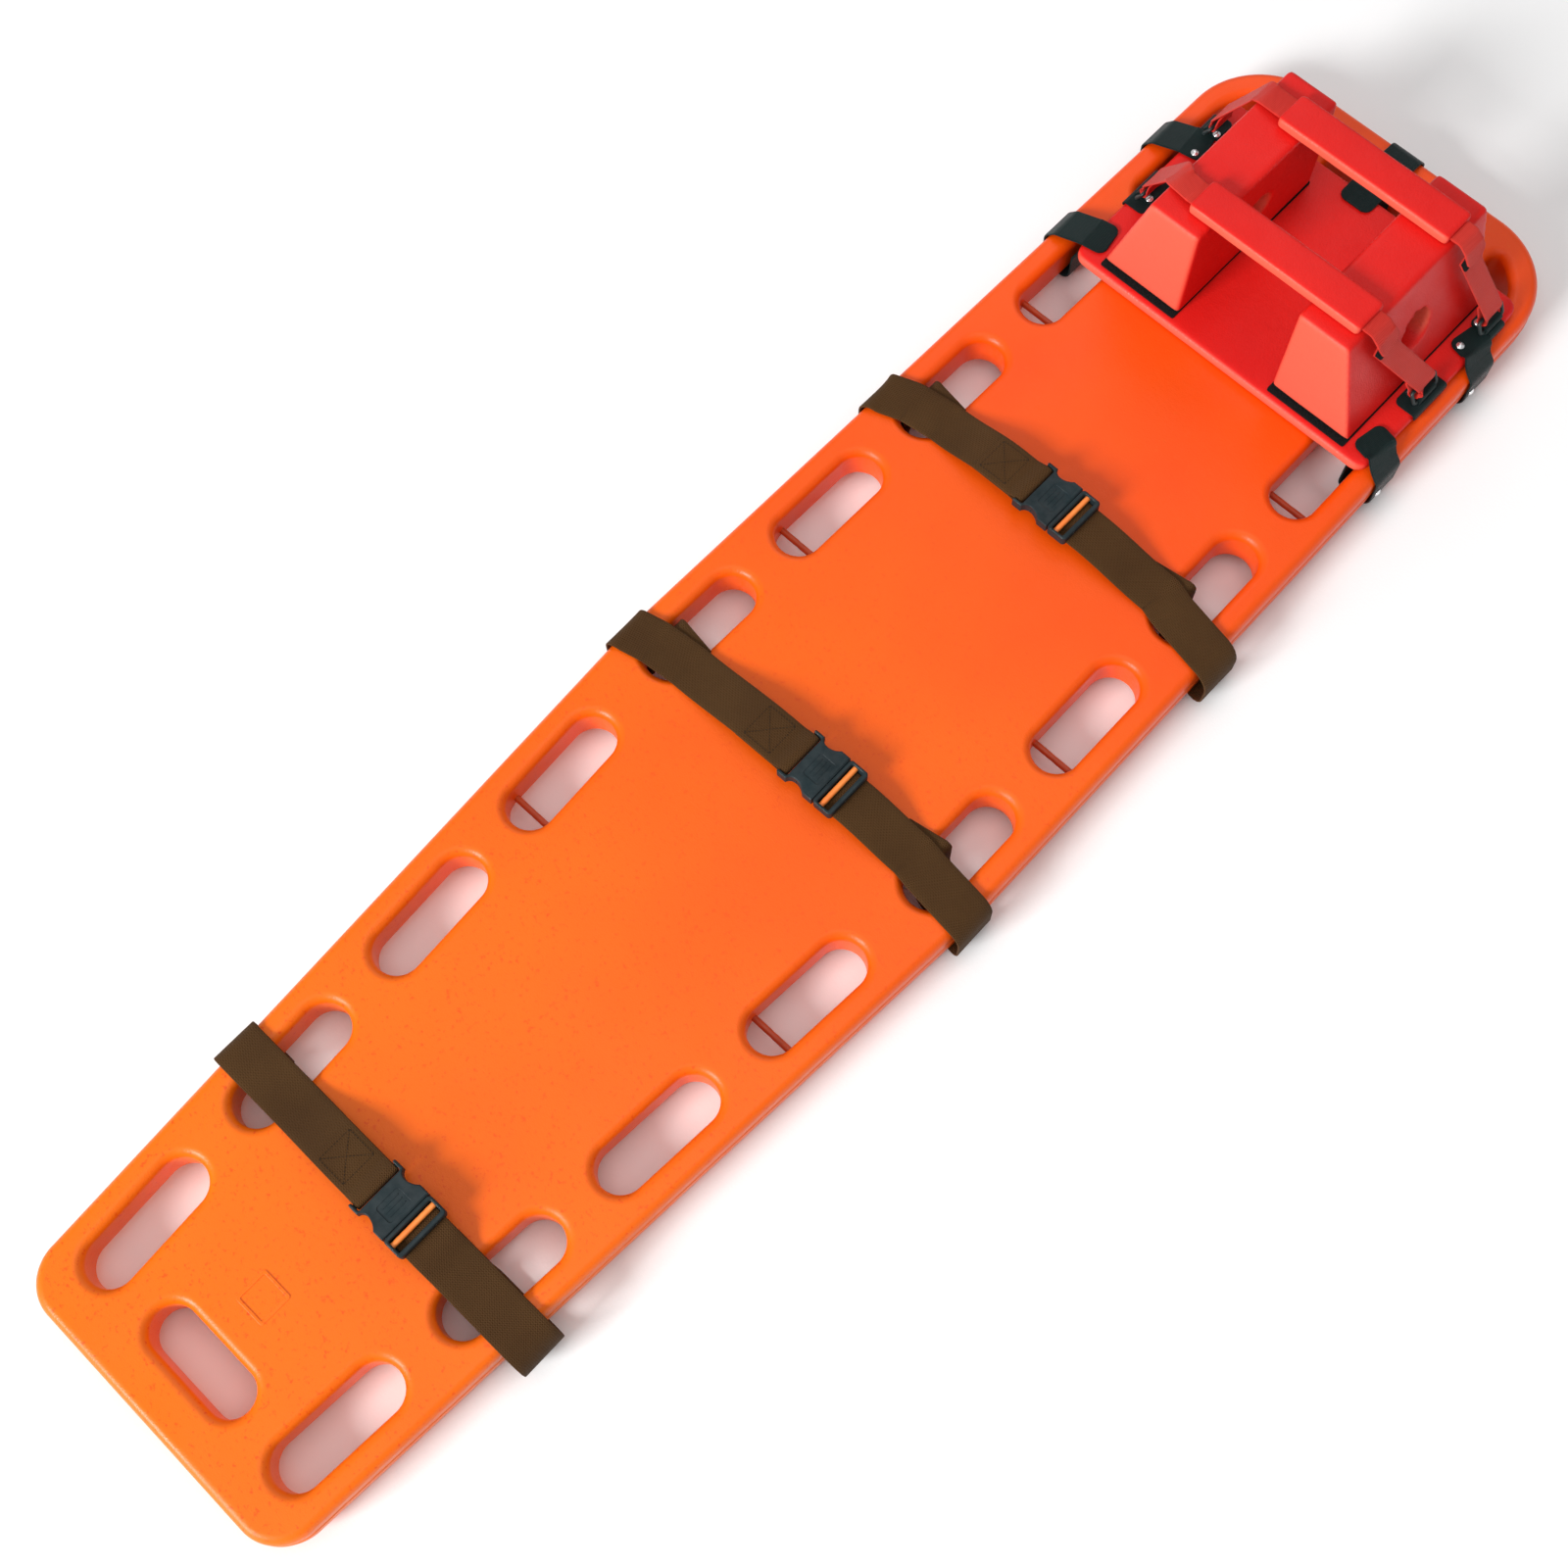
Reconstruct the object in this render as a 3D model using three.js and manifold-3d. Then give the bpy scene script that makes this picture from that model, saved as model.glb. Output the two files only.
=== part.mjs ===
// A spine board with three restraint belts and a head immobilizer, in millimetres, +Z up.
// x runs across the board and y from the foot end (0) to the head end, until the last
// group moves the middle of the object to the origin. The runners stand on z = 0.

import * as THREE from "three";
import { mergeVertices } from "three/addons/utils/BufferGeometryUtils.js";
import Module from "manifold-3d";

const wasm = await Module();
wasm.setup();

// ---------------------------------------------------------------- driving dimensions

const GAP = 0.3; // between pieces that touch
const SLIP = 1.5; // between a strap and the rail that it goes round

// Board shell
const BOARD_LENGTH = 1830;
const SLAB = 48;
const FOOT_WIDTH = 351;
const SHOULDER_WIDTH = 457;
const HEAD_WIDTH = 440;
const SHOULDER_SHARE = 0.458; // of the length, where the foot half stops widening
const FOOT_RADIUS = 45;
const HEAD_RADIUS = 95;
const EDGE_RADIUS = 10;
const RUNNER_HEIGHT = 12;
const RUNNER_WIDTH = 44;
const RUNNER_OFFSET = 62; // from the middle of the board to the middle of a runner
const RUNNER_INSET = 120; // from each end of the board

// Handholds
const RAIL = 27.5; // between the edge of the board and a handhold
const HANDHOLD_WIDTH = 50;
const HANDHOLD_LENGTH = 140;
const FIRST_HANDHOLD_Y = 116.5;
const LAST_HANDHOLD_SETBACK = 370.5; // from its middle to the head end
const SHOULDER_STEP = 17; // added to the pitch at the shoulders
const HANDHOLD_COUNT = 8; // on each side, the ones at the head corners not counted
const END_HANDHOLD_LENGTH = 124;
const END_HANDHOLD_WIDTH = 46;
const END_RAIL = 47.5;
const CORNER_SETBACK = 6; // extra width of the rail at the head corners
const PIN_HANDHOLDS = [4, 6, 8];
const PIN_RADIUS = 3.5;
const PIN_SHARE = 0.18; // how far along the handhold the pin lies
const PIN_HEIGHT = 16; // above the underside of the shell
const PIN_SEAT = 6; // length of pin inside each wall

// Blank embossed frame near the foot end
const MARK_SIDE = 36;
const MARK_LINE = 3;
const MARK_HEIGHT = 0.8;
const MARK_Y = 146;

// Belts
const WEBBING_WIDTH = 50;
const WEBBING = 2.6; // thickness
const ARCH = 18; // middle of the buckle above the board
const LEG_SLACK = 6; // between the rail and the leg in the handhold
const BELT_TRAVEL = 30; // room to slide along the handholds
const STITCHED = 58; // length of the doubled webbing beside the buckle
const SEWN_SHARE = 0.9; // of the webbing's thickness, from one sewn layer to the next
// For each belt: the handhold that it goes through, how far from that handhold's foot end
// the foot sides of its top layer and of its leg in the handhold are, how far it swings at
// the edge of the board, its turn in degrees, where its buckle is across the board, and how
// far its right loop stands out.
const BELTS = [
  { handhold: 2, top: 23, leg: 23, swing: 0, turn: 0, buckle: 36, overhang: 22 },
  { handhold: 5, top: 6, leg: 16, swing: -12, turn: 1, buckle: 30, overhang: 8 },
  { handhold: 7, top: 5, leg: 14, swing: -20, turn: 0, buckle: 3, overhang: 15 },
];

// Side-release buckle
const LUG = 3.3; // wall at each side of the webbing
const WEBBING_ROOM = 0.7; // between the webbing and that wall
const BUCKLE_HEIGHT = 13;
const FEMALE_LENGTH = 46;
const MALE_LENGTH = 24;
const BAR_RADIUS = 2.6;
const BAR_SETBACK = 1.4; // from the end of the female to its bar, and past its webbing
const BUCKLE_ROUND = 1.5;
const CAVITY_WALL = 6; // at each side of the space for the arms
const CAVITY_HEIGHT = 8;
const CAVITY_END = 3; // wall between that space and the bay of the webbing
const WINDOW_DEPTH = 8; // of the cut-outs where the arms are pressed
const WINDOW_LENGTH = 22;
const WINDOW_SETBACK = 1;
const WINDOW_START_CURVE = 2;
const WINDOW_END_CURVE = 8;
const PRONG_LENGTH = 24;
const PRONG_WIDTH = 8;
const PRONG_HEIGHT = 5;
const MALE_FRONT = 4.7; // wall that carries the prong
const MALE_END_BAR = 5;
const MALE_ROUND = 3;
const FLOOR = 1.5; // of the male half, under its webbing
const ARM_WIDTH = 5;
const ARM_THICKNESS = 6;
const ARM_INSET = 6.5; // from the side of the cavity to the middle of an arm's root
const ARM_TIP_ROOM = 0.6; // between an arm's tip and the side of the cavity
const ARM_TIP_WIDTH = 7;
const ARM_TIP_ROUND = 4;
const ARM_BEND = 9; // length of an arm's slim part
const LOCK_BAR_RADIUS = 3;
const LOCK_BAR_SETBACK = 1.5; // behind the wall that carries the prong
const LOCK_BAR_ROOM = 0.7; // over the webbing
const RELEASE = 26; // travel of the male half

// Head immobilizer
const HEAD_X = 12; // it sits a little to the right
const BASE_WIDTH = 390;
const BASE_LENGTH = 272;
const BASE_SETBACK = 85; // from its rear to the head end
const BASE_HEIGHT = 14;
const BASE_RADIUS = 16;
const HOOK_STRIP = 2;
const HOOK_STRIP_PROUD = 6;
const BLOCK_LENGTH = 227;
const BLOCK_HEIGHT = 131;
const BLOCK_FOOT = 100; // width at the bottom
const BLOCK_TOP = 62;
const BLOCK_GAP = 126;
const BLOCK_SETBACK = 14; // behind the front of the base pad
const EAR_HOLE_RADIUS = 22;
const EAR_HOLE_HEIGHT = 62;
const PAD_LENGTH = 214; // chin and forehead pads
const PAD_WIDTH = 42;
const PAD_HEIGHT = 13;
const PAD_SHIFT = 14; // to the right of the middle of the immobilizer
const STRAP_WIDTH = 30;
const STRAP = 2.2; // thickness
const CHIN_REACH = 39; // from the front of the blocks
const FOREHEAD_REACH = 180;
const CHIN_RING_REACH = 99;
const FOREHEAD_RING_REACH = 213;
const TAB_REACH = 24; // of a pad's end tab past the pad

const CREST_REACH = 2.5; // of a left strap past the block's upper edge, in strap thicknesses
const TAB_BEND = 9; // of the right tab's end, outwards from where it turns down
const TAB_DROP = 16; // of that end below its bend
const TAIL_OVERLAP = 3; // height of the tail's top above the tab's lower end
const TAIL_DEPTH = 1.5; // of the tail under the tab, in strap thicknesses

// Rings, ring tabs and board straps
const RING_WIRE = 4;
const RING_WIDTH = 34; // inside
const RING_PITCH = 15; // between its two bars
const RING_SETBACK = 8; // from its lower bar to the edge of the base pad
const RING_LEAN = THREE.MathUtils.degToRad(62);
const LOOP_START = THREE.MathUtils.degToRad(52); // how high on its loop a red strap starts
const RING_LOOP_WIDTH = 28; // of the tab's loop round the ring
const RING_TAB_WIDTHS = { chin: 56, forehead: 28 };
const RING_TAB_GRIP = 18; // inwards from the ring, on top of the base pad
const RING_TAB_BEND = 3;
const RING_TAB_DROP = 9; // down the side of the base pad
const RING_TAB_EDGE = 1.4; // from the side of the base pad to the middle of the tab
const BOARD_STRAP_WIDTH = 40;
const BOARD_STRAP = 2.4; // thickness
const BOARD_STRAP_GRIP = 24; // length on top of the base pad
const BOARD_STRAP_BULGE = 7; // outside the rail
const BOARD_STRAP_CORNER = 12; // radius of its bends round the rail
const BOARD_STRAP_STEP = 6; // how far from the base pad it comes down to the rail
const BOARD_STRAP_CREST = 7; // above the board there
const BOARD_STRAP_SHOULDER = 3; // below the board's top, where it turns down
const FRONT_STRAP_ROOM = 9; // between its side and the end of the last handhold
const REAR_STRAP_SETBACK = 167; // from its middle to the head end
const HEAD_END_BULGE = 4.5;

// ---------------------------------------------------------------- worked out from them

const SLAB_BOTTOM = RUNNER_HEIGHT;
const TOP = RUNNER_HEIGHT + SLAB;
const SHOULDER_Y = SHOULDER_SHARE * BOARD_LENGTH;
const LAST_HANDHOLD_Y = BOARD_LENGTH - LAST_HANDHOLD_SETBACK;
const HANDHOLD_PITCH = (LAST_HANDHOLD_Y - FIRST_HANDHOLD_Y - SHOULDER_STEP) / (HANDHOLD_COUNT - 1);
const HALF = { foot: FOOT_WIDTH / 2, shoulder: SHOULDER_WIDTH / 2, head: HEAD_WIDTH / 2 };
const WEBBING_Z = TOP + SLIP + WEBBING / 2; // middle of the webbing on the board
const BASE_TOP = TOP + GAP + BASE_HEIGHT;
const BLOCK_Z = BASE_TOP + GAP + HOOK_STRIP + GAP;
const BLOCK_TOP_Z = BLOCK_Z + BLOCK_HEIGHT;
const BASE_FRONT_Y = BOARD_LENGTH - BASE_SETBACK - BASE_LENGTH;
const BLOCK_Y = BASE_FRONT_Y + BLOCK_SETBACK;
const PAD_Z = BLOCK_TOP_Z + GAP;
const HEAD_STRAPS = [
  { name: "chin", y: BLOCK_Y + CHIN_REACH, ringY: BLOCK_Y + CHIN_RING_REACH },
  { name: "forehead", y: BLOCK_Y + FOREHEAD_REACH, ringY: BLOCK_Y + FOREHEAD_RING_REACH },
];
const FRONT_STRAP_Y = LAST_HANDHOLD_Y + HANDHOLD_LENGTH / 2 - FRONT_STRAP_ROOM - BOARD_STRAP_WIDTH / 2;
const REAR_STRAP_Y = BOARD_LENGTH - REAR_STRAP_SETBACK;
const BUCKLE_WIDTH = WEBBING_WIDTH + 2 * (WEBBING_ROOM + LUG);
const CAVITY_WIDTH = BUCKLE_WIDTH - 2 * CAVITY_WALL;
const ARM_OFFSET = CAVITY_WIDTH / 2 - ARM_INSET;

const CURVE_STEPS = 3; // each rounded corner of an outline has twice as many sides
const HANDHOLD_STEPS = 2;
const EASE_STEPS = 10; // for each slope of a strap
const TRIM = 0.02; // left in the loop of a strap where a strip crosses it

// ---------------------------------------------------------------- materials

const plastic = (color, roughness) => new THREE.MeshStandardMaterial({ color, roughness, metalness: 0 });
const materials = {
  shell: plastic(0xf4691f, 0.42),
  pin: plastic(0xb8401a, 0.5),
  webbing: plastic(0x4a3320, 0.85),
  buckle: plastic(0x14272c, 0.3),
  lockBar: plastic(0xf58a2a, 0.4),
  vinyl: plastic(0xd9281f, 0.45),
  strap: plastic(0xd3302a, 0.7),
  black: plastic(0x15211f, 0.8),
  ring: plastic(0x101616, 0.35),
};

// ---------------------------------------------------------------- small helpers

// The half width of the board at a distance y from its foot end, its corners left out.
function halfWidth(y) {
  if (y < SHOULDER_Y) return THREE.MathUtils.mapLinear(y, 0, SHOULDER_Y, HALF.foot, HALF.shoulder);
  return THREE.MathUtils.mapLinear(y, SHOULDER_Y, BOARD_LENGTH, HALF.shoulder, HALF.head);
}

const handholdY = (number) =>
  FIRST_HANDHOLD_Y + (number - 1) * HANDHOLD_PITCH + (number > HANDHOLD_COUNT / 2 ? SHOULDER_STEP : 0);

// How far the edge of the board moves outwards for each millimetre along it.
const edgeSlope = (y) => halfWidth(y + 1) - halfWidth(y);

function roundedRectangle(width, height, radius, target = new THREE.Shape()) {
  const x = width / 2;
  const y = height / 2;
  const r = Math.min(radius, x, y);
  target.moveTo(x, -y + r);
  target.lineTo(x, y - r);
  target.absarc(x - r, y - r, r, 0, Math.PI / 2);
  target.lineTo(-x + r, y);
  target.absarc(-x + r, y - r, r, Math.PI / 2, Math.PI);
  target.lineTo(-x, -y + r);
  target.absarc(-x + r, -y + r, r, Math.PI, 1.5 * Math.PI);
  target.lineTo(x - r, -y);
  target.absarc(x - r, -y + r, r, 1.5 * Math.PI, 2 * Math.PI);
  return target;
}

// An extrusion from z = 0 to z = height, its edges rounded by radius inside that outline.
function slab(shape, height, radius = 0, steps = CURVE_STEPS, rounds = 2) {
  const geometry = new THREE.ExtrudeGeometry(shape, {
    depth: height - 2 * radius,
    bevelEnabled: radius > 0,
    bevelThickness: radius,
    bevelSize: radius,
    bevelOffset: -radius,
    bevelSegments: rounds,
    curveSegments: steps,
  });
  return geometry.translate(0, 0, radius);
}

// A profile drawn in x and z, extruded along y about y = 0.
function alongY(shape, width, steps = CURVE_STEPS) {
  const options = { depth: width, bevelEnabled: false, curveSegments: steps };
  return new THREE.ExtrudeGeometry(shape, options).translate(0, 0, -width / 2).rotateX(Math.PI / 2);
}

function box(width, depth, height, x, y, z) {
  return new THREE.BoxGeometry(width, depth, height).translate(x, y, z);
}

function rodAlongY(radius, length, x, y, z, sides = 12) {
  return new THREE.CylinderGeometry(radius, radius, length, sides).translate(x, y, z);
}

function solid(geometry) {
  const bare = geometry.clone();
  bare.deleteAttribute("normal");
  bare.deleteAttribute("uv");
  const merged = mergeVertices(bare, 1e-4);
  return new wasm.Manifold(
    new wasm.Mesh({
      numProp: 3,
      vertProperties: merged.getAttribute("position").array,
      triVerts: new Uint32Array(merged.index.array),
    }),
  );
}

function geometryOf(manifold) {
  const { vertProperties, triVerts } = manifold.getMesh();
  const geometry = new THREE.BufferGeometry();
  geometry.setAttribute("position", new THREE.BufferAttribute(vertProperties, 3));
  geometry.setIndex(new THREE.BufferAttribute(triVerts, 1));
  return geometry;
}

const join = (first, ...others) => others.reduce((sum, next) => sum.add(solid(next)), solid(first));

const cut = (body, cutters) => cutters.reduce((left, next) => left.subtract(solid(next)), body);

const flat = (x, y) => new THREE.Vector2(x, y);

// The outline of a strap of a given thickness along a path of points, with square ends.
function stroke(points, thickness) {
  const left = [];
  const right = [];
  points.forEach((point, i) => {
    const before = points[Math.max(i - 1, 0)];
    const after = points[Math.min(i + 1, points.length - 1)];
    const inward = point.clone().sub(before).normalize();
    const outward = after.clone().sub(point).normalize();
    const along = inward.add(outward).normalize();
    const other = i === 0 ? after.clone().sub(point) : point.clone().sub(before);
    const miter = 1 / Math.max(along.dot(other.normalize()), 0.5);
    const side = flat(-along.y, along.x).multiplyScalar((thickness / 2) * miter);
    left.push(point.clone().add(side));
    right.push(point.clone().sub(side));
  });
  return new THREE.Shape([...left, ...right.reverse()]);
}

// Points of a smooth slope from one level stretch to another.
function ease(from, to, steps = EASE_STEPS) {
  return Array.from({ length: steps + 1 }, (_, i) => {
    const t = i / steps;
    const rise = (1 - Math.cos(Math.PI * t)) / 2;
    return flat(THREE.MathUtils.lerp(from.x, to.x, t), THREE.MathUtils.lerp(from.y, to.y, rise));
  });
}

// Points of an arc about a centre.
function arc(x, z, radius, start, end, steps = CURVE_STEPS) {
  return Array.from({ length: steps + 1 }, (_, i) => {
    const angle = THREE.MathUtils.lerp(start, end, i / steps);
    return flat(x + radius * Math.cos(angle), z + radius * Math.sin(angle));
  });
}

// The closed loop of a strap round a bar.
function loop(x, z, inner, thickness) {
  const outer = inner + thickness;
  const shape = new THREE.Shape().absarc(x, z, outer, 0, 2 * Math.PI);
  shape.holes.push(new THREE.Path().absarc(x, z, inner, 0, 2 * Math.PI));
  return shape;
}

// The room for a bar inside a strap's loop, a little slimmer than the loop.
function barRoom(bar, radius, width, sides = 16) {
  return rodAlongY(radius - TRIM, 2 * width, bar.x, 0, bar.y, sides);
}

const mirrored = (points) => points.map((point) => flat(-point.x, point.y));

function mesh(name, geometry, material) {
  const piece = new THREE.Mesh(geometry, material);
  piece.name = name;
  return piece;
}

// Moves each vertex along y by an amount that depends on its x and z.
function drift(geometry, shift) {
  const position = geometry.getAttribute("position");
  for (let i = 0; i < position.count; i += 1) {
    position.setY(i, position.getY(i) + shift(position.getX(i), position.getZ(i)));
  }
  return geometry;
}

// ---------------------------------------------------------------- board shell and pins

function boardOutline() {
  const shape = new THREE.Shape();
  const end = BOARD_LENGTH;
  const footX = halfWidth(FOOT_RADIUS) - FOOT_RADIUS;
  const headX = halfWidth(end - HEAD_RADIUS) - HEAD_RADIUS;
  shape.moveTo(-footX, 0);
  shape.lineTo(footX, 0);
  shape.absarc(footX, FOOT_RADIUS, FOOT_RADIUS, -Math.PI / 2, 0);
  shape.lineTo(HALF.shoulder, SHOULDER_Y);
  shape.lineTo(headX + HEAD_RADIUS, end - HEAD_RADIUS);
  shape.absarc(headX, end - HEAD_RADIUS, HEAD_RADIUS, 0, Math.PI / 2);
  shape.lineTo(-headX, end);
  shape.absarc(-headX, end - HEAD_RADIUS, HEAD_RADIUS, Math.PI / 2, Math.PI);
  shape.lineTo(-HALF.shoulder, SHOULDER_Y);
  shape.lineTo(-footX - FOOT_RADIUS, FOOT_RADIUS);
  shape.absarc(-footX, FOOT_RADIUS, FOOT_RADIUS, Math.PI, 1.5 * Math.PI);
  return shape;
}

// A path moved and turned, its curves as points.
function placed(path, x, y, angle = 0) {
  const points = path.getPoints(HANDHOLD_STEPS).map((point) => point.rotateAround(flat(0, 0), angle));
  return new THREE.Path(points.map((point) => point.add(flat(x, y))));
}

const handholdX = (y) => halfWidth(y) - RAIL - HANDHOLD_WIDTH / 2;

function sideHandholds() {
  const holes = [];
  for (let number = 1; number <= HANDHOLD_COUNT; number += 1) {
    const y = handholdY(number);
    for (const side of [-1, 1]) {
      const outline = roundedRectangle(HANDHOLD_WIDTH, HANDHOLD_LENGTH, HANDHOLD_WIDTH / 2);
      holes.push(placed(outline, side * handholdX(y), y, -side * Math.atan(edgeSlope(y))));
    }
  }
  return holes;
}

// The opening inside a head corner: straight on the side of the middle, and as round
// as the corner of the board on the outside.
function cornerHandhold(side) {
  const last = handholdY(HANDHOLD_COUNT) + HANDHOLD_PITCH - HANDHOLD_LENGTH / 2;
  const outer = halfWidth(BOARD_LENGTH - HEAD_RADIUS) - RAIL;
  const inner = outer - HANDHOLD_WIDTH;
  const small = HANDHOLD_WIDTH / 2;
  const large = HEAD_RADIUS - RAIL;
  const top = BOARD_LENGTH - HEAD_RADIUS - CORNER_SETBACK;
  const lean = large - Math.sqrt(large ** 2 - (large - HANDHOLD_WIDTH + EDGE_RADIUS) ** 2);
  const path = new THREE.Path();
  path.moveTo(inner, last + small);
  path.absarc(inner + small, last + small, small, Math.PI, 2 * Math.PI);
  path.lineTo(outer, top);
  path.absarc(outer - large, top, large, 0, Math.asin(1 - lean / large));
  path.absarc(inner + EDGE_RADIUS, top + large - lean - EDGE_RADIUS, EDGE_RADIUS, Math.PI / 2, Math.PI);
  const points = path.getPoints(HANDHOLD_STEPS).map((point) => flat(side * point.x, point.y));
  return new THREE.Path(points);
}

const END_HANDHOLD_YS = [END_RAIL + END_HANDHOLD_WIDTH / 2, BOARD_LENGTH - END_RAIL - END_HANDHOLD_WIDTH / 2];

function endHandholds() {
  const outline = roundedRectangle(END_HANDHOLD_LENGTH, END_HANDHOLD_WIDTH, END_HANDHOLD_WIDTH / 2);
  return END_HANDHOLD_YS.map((y) => placed(outline, 0, y));
}

function runner(side) {
  const length = BOARD_LENGTH - 2 * RUNNER_INSET;
  const outline = roundedRectangle(RUNNER_WIDTH, length, RUNNER_WIDTH / 2);
  const body = slab(outline, RUNNER_HEIGHT + EDGE_RADIUS);
  return body.translate(side * RUNNER_OFFSET, BOARD_LENGTH / 2, 0);
}

function blankMark() {
  const frame = roundedRectangle(MARK_SIDE, MARK_SIDE, MARK_LINE);
  const inside = MARK_SIDE - 2 * MARK_LINE;
  frame.holes.push(roundedRectangle(inside, inside, MARK_LINE / 2, new THREE.Path()));
  return slab(frame, MARK_LINE + MARK_HEIGHT, 0, 2).translate(0, MARK_Y, TOP - MARK_LINE);
}

// Where each pin lies: its ends are in sockets in the two long walls of the handhold.
function pinPlaces() {
  return PIN_HANDHOLDS.flatMap((number) => {
    const y = handholdY(number) + (PIN_SHARE - 0.5) * HANDHOLD_LENGTH;
    return [-1, 1].map((side) => ({ number, side, x: side * handholdX(y), y }));
  });
}

function pinRod(place, radius, length) {
  const rod = new THREE.CylinderGeometry(radius, radius, length, 10).rotateZ(Math.PI / 2);
  return rod.translate(place.x, place.y, SLAB_BOTTOM + PIN_HEIGHT);
}

function boardShell() {
  const outline = boardOutline();
  outline.holes.push(...sideHandholds(), cornerHandhold(-1), cornerHandhold(1), ...endHandholds());
  const plate = slab(outline, SLAB, EDGE_RADIUS).translate(0, 0, SLAB_BOTTOM);
  const body = join(plate, runner(-1), runner(1), blankMark());
  const socket = HANDHOLD_WIDTH + 2 * PIN_SEAT + 2 * GAP;
  const sockets = pinPlaces().map((place) => pinRod(place, PIN_RADIUS + GAP, socket));
  return mesh("board_shell", geometryOf(cut(body, sockets)), materials.shell);
}

function pins() {
  return pinPlaces().map((place) => {
    const side = place.side < 0 ? "left" : "right";
    const rod = pinRod(place, PIN_RADIUS, HANDHOLD_WIDTH + 2 * PIN_SEAT);
    return mesh(`strap_pin_${place.number}_${side}`, rod, materials.pin);
  });
}

// ---------------------------------------------------------------- buckles

// All of these are drawn about the middle of the closed buckle, the female half on the left.
const BUCKLE_LENGTH = FEMALE_LENGTH + MALE_LENGTH;
const FEMALE_END = -BUCKLE_LENGTH / 2;
const MOUTH = FEMALE_END + FEMALE_LENGTH;
const MALE_END = BUCKLE_LENGTH / 2;
const BAY_WIDTH = BUCKLE_WIDTH - 2 * LUG;
const LOOP_RADIUS = BAR_RADIUS + GAP; // inside of the webbing round the female's bar
const FEMALE_BAR_X = FEMALE_END + BAR_RADIUS + BAR_SETBACK;
const FEMALE_BAY_END = FEMALE_BAR_X + LOOP_RADIUS + WEBBING + BAR_SETBACK;
const MALE_WEBBING_Z = -BUCKLE_HEIGHT / 2 + FLOOR + GAP + WEBBING / 2;
const LOCK_BAR_X = MOUTH + MALE_FRONT + LOCK_BAR_SETBACK + LOCK_BAR_RADIUS;
const LOCK_BAR_Z = MALE_WEBBING_Z + WEBBING / 2 + LOCK_BAR_ROOM + LOCK_BAR_RADIUS;

function femaleOutline() {
  const half = BUCKLE_WIDTH / 2;
  const deep = half - WINDOW_DEPTH;
  const start = FEMALE_BAY_END + WINDOW_SETBACK;
  const end = start + WINDOW_LENGTH;
  const bends = [start + WINDOW_START_CURVE, end - WINDOW_END_CURVE];
  const shape = new THREE.Shape();
  shape.moveTo(FEMALE_END, -half);
  shape.lineTo(start, -half);
  shape.bezierCurveTo(bends[0], -deep, bends[1], -deep, end, -half);
  shape.lineTo(MOUTH, -half);
  shape.lineTo(MOUTH, half);
  shape.lineTo(end, half);
  shape.bezierCurveTo(bends[1], deep, bends[0], deep, start, half);
  shape.lineTo(FEMALE_END, half);
  return shape;
}

// A hollow body, open at its mouth and at both sides, with a round bar for the webbing.
function femaleHalf() {
  const shell = slab(femaleOutline(), BUCKLE_HEIGHT, BUCKLE_ROUND, CURVE_STEPS, 1);
  shell.translate(0, 0, -BUCKLE_HEIGHT / 2);
  const bay = FEMALE_BAY_END - FEMALE_END;
  const bayBox = box(bay + 1, BAY_WIDTH, BUCKLE_HEIGHT + 2, FEMALE_END + (bay - 1) / 2, 0, 0);
  const depth = MOUTH - FEMALE_BAY_END - CAVITY_END;
  const cavity = box(depth + 1, CAVITY_WIDTH, CAVITY_HEIGHT, MOUTH - (depth - 1) / 2, 0, 0);
  const body = cut(solid(shell), [bayBox, cavity]);
  return geometryOf(body.add(solid(rodAlongY(BAR_RADIUS, BAY_WIDTH + 2, FEMALE_BAR_X, 0, 0))));
}

// A frame with a floor under its webbing, an end bar over it, and a guide prong.
function maleHalf() {
  const outline = roundedRectangle(MALE_LENGTH - GAP, BUCKLE_WIDTH, MALE_ROUND);
  const middle = (MOUTH + GAP + MALE_END) / 2;
  const frame = slab(outline, BUCKLE_HEIGHT, BUCKLE_ROUND, CURVE_STEPS, 1);
  frame.translate(middle, 0, -BUCKLE_HEIGHT / 2);
  const root = MALE_FRONT / 2;
  const prongX = MOUTH + (root - PRONG_LENGTH) / 2;
  const prong = box(PRONG_LENGTH + root, PRONG_WIDTH, PRONG_HEIGHT, prongX, 0, 0);
  const bayStart = MOUTH + MALE_FRONT;
  const bayEnd = MALE_END - MALE_END_BAR;
  const floorZ = -BUCKLE_HEIGHT / 2 + FLOOR;
  const bayX = (bayStart + bayEnd) / 2;
  const bay = box(bayEnd - bayStart, BAY_WIDTH, BUCKLE_HEIGHT, bayX, 0, floorZ + BUCKLE_HEIGHT / 2);
  const passage = WEBBING + 2 * GAP;
  const under = box(MALE_LENGTH, BAY_WIDTH, passage, bayEnd + MALE_LENGTH / 2 - 1, 0, floorZ + passage / 2);
  const seats = rodAlongY(LOCK_BAR_RADIUS + GAP, BAY_WIDTH + LUG, LOCK_BAR_X, 0, LOCK_BAR_Z);
  return geometryOf(cut(join(frame, prong), [bay, under, seats]));
}

const lockBar = () => rodAlongY(LOCK_BAR_RADIUS, BAY_WIDTH + LUG - 2 * GAP, LOCK_BAR_X, 0, LOCK_BAR_Z);

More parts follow.
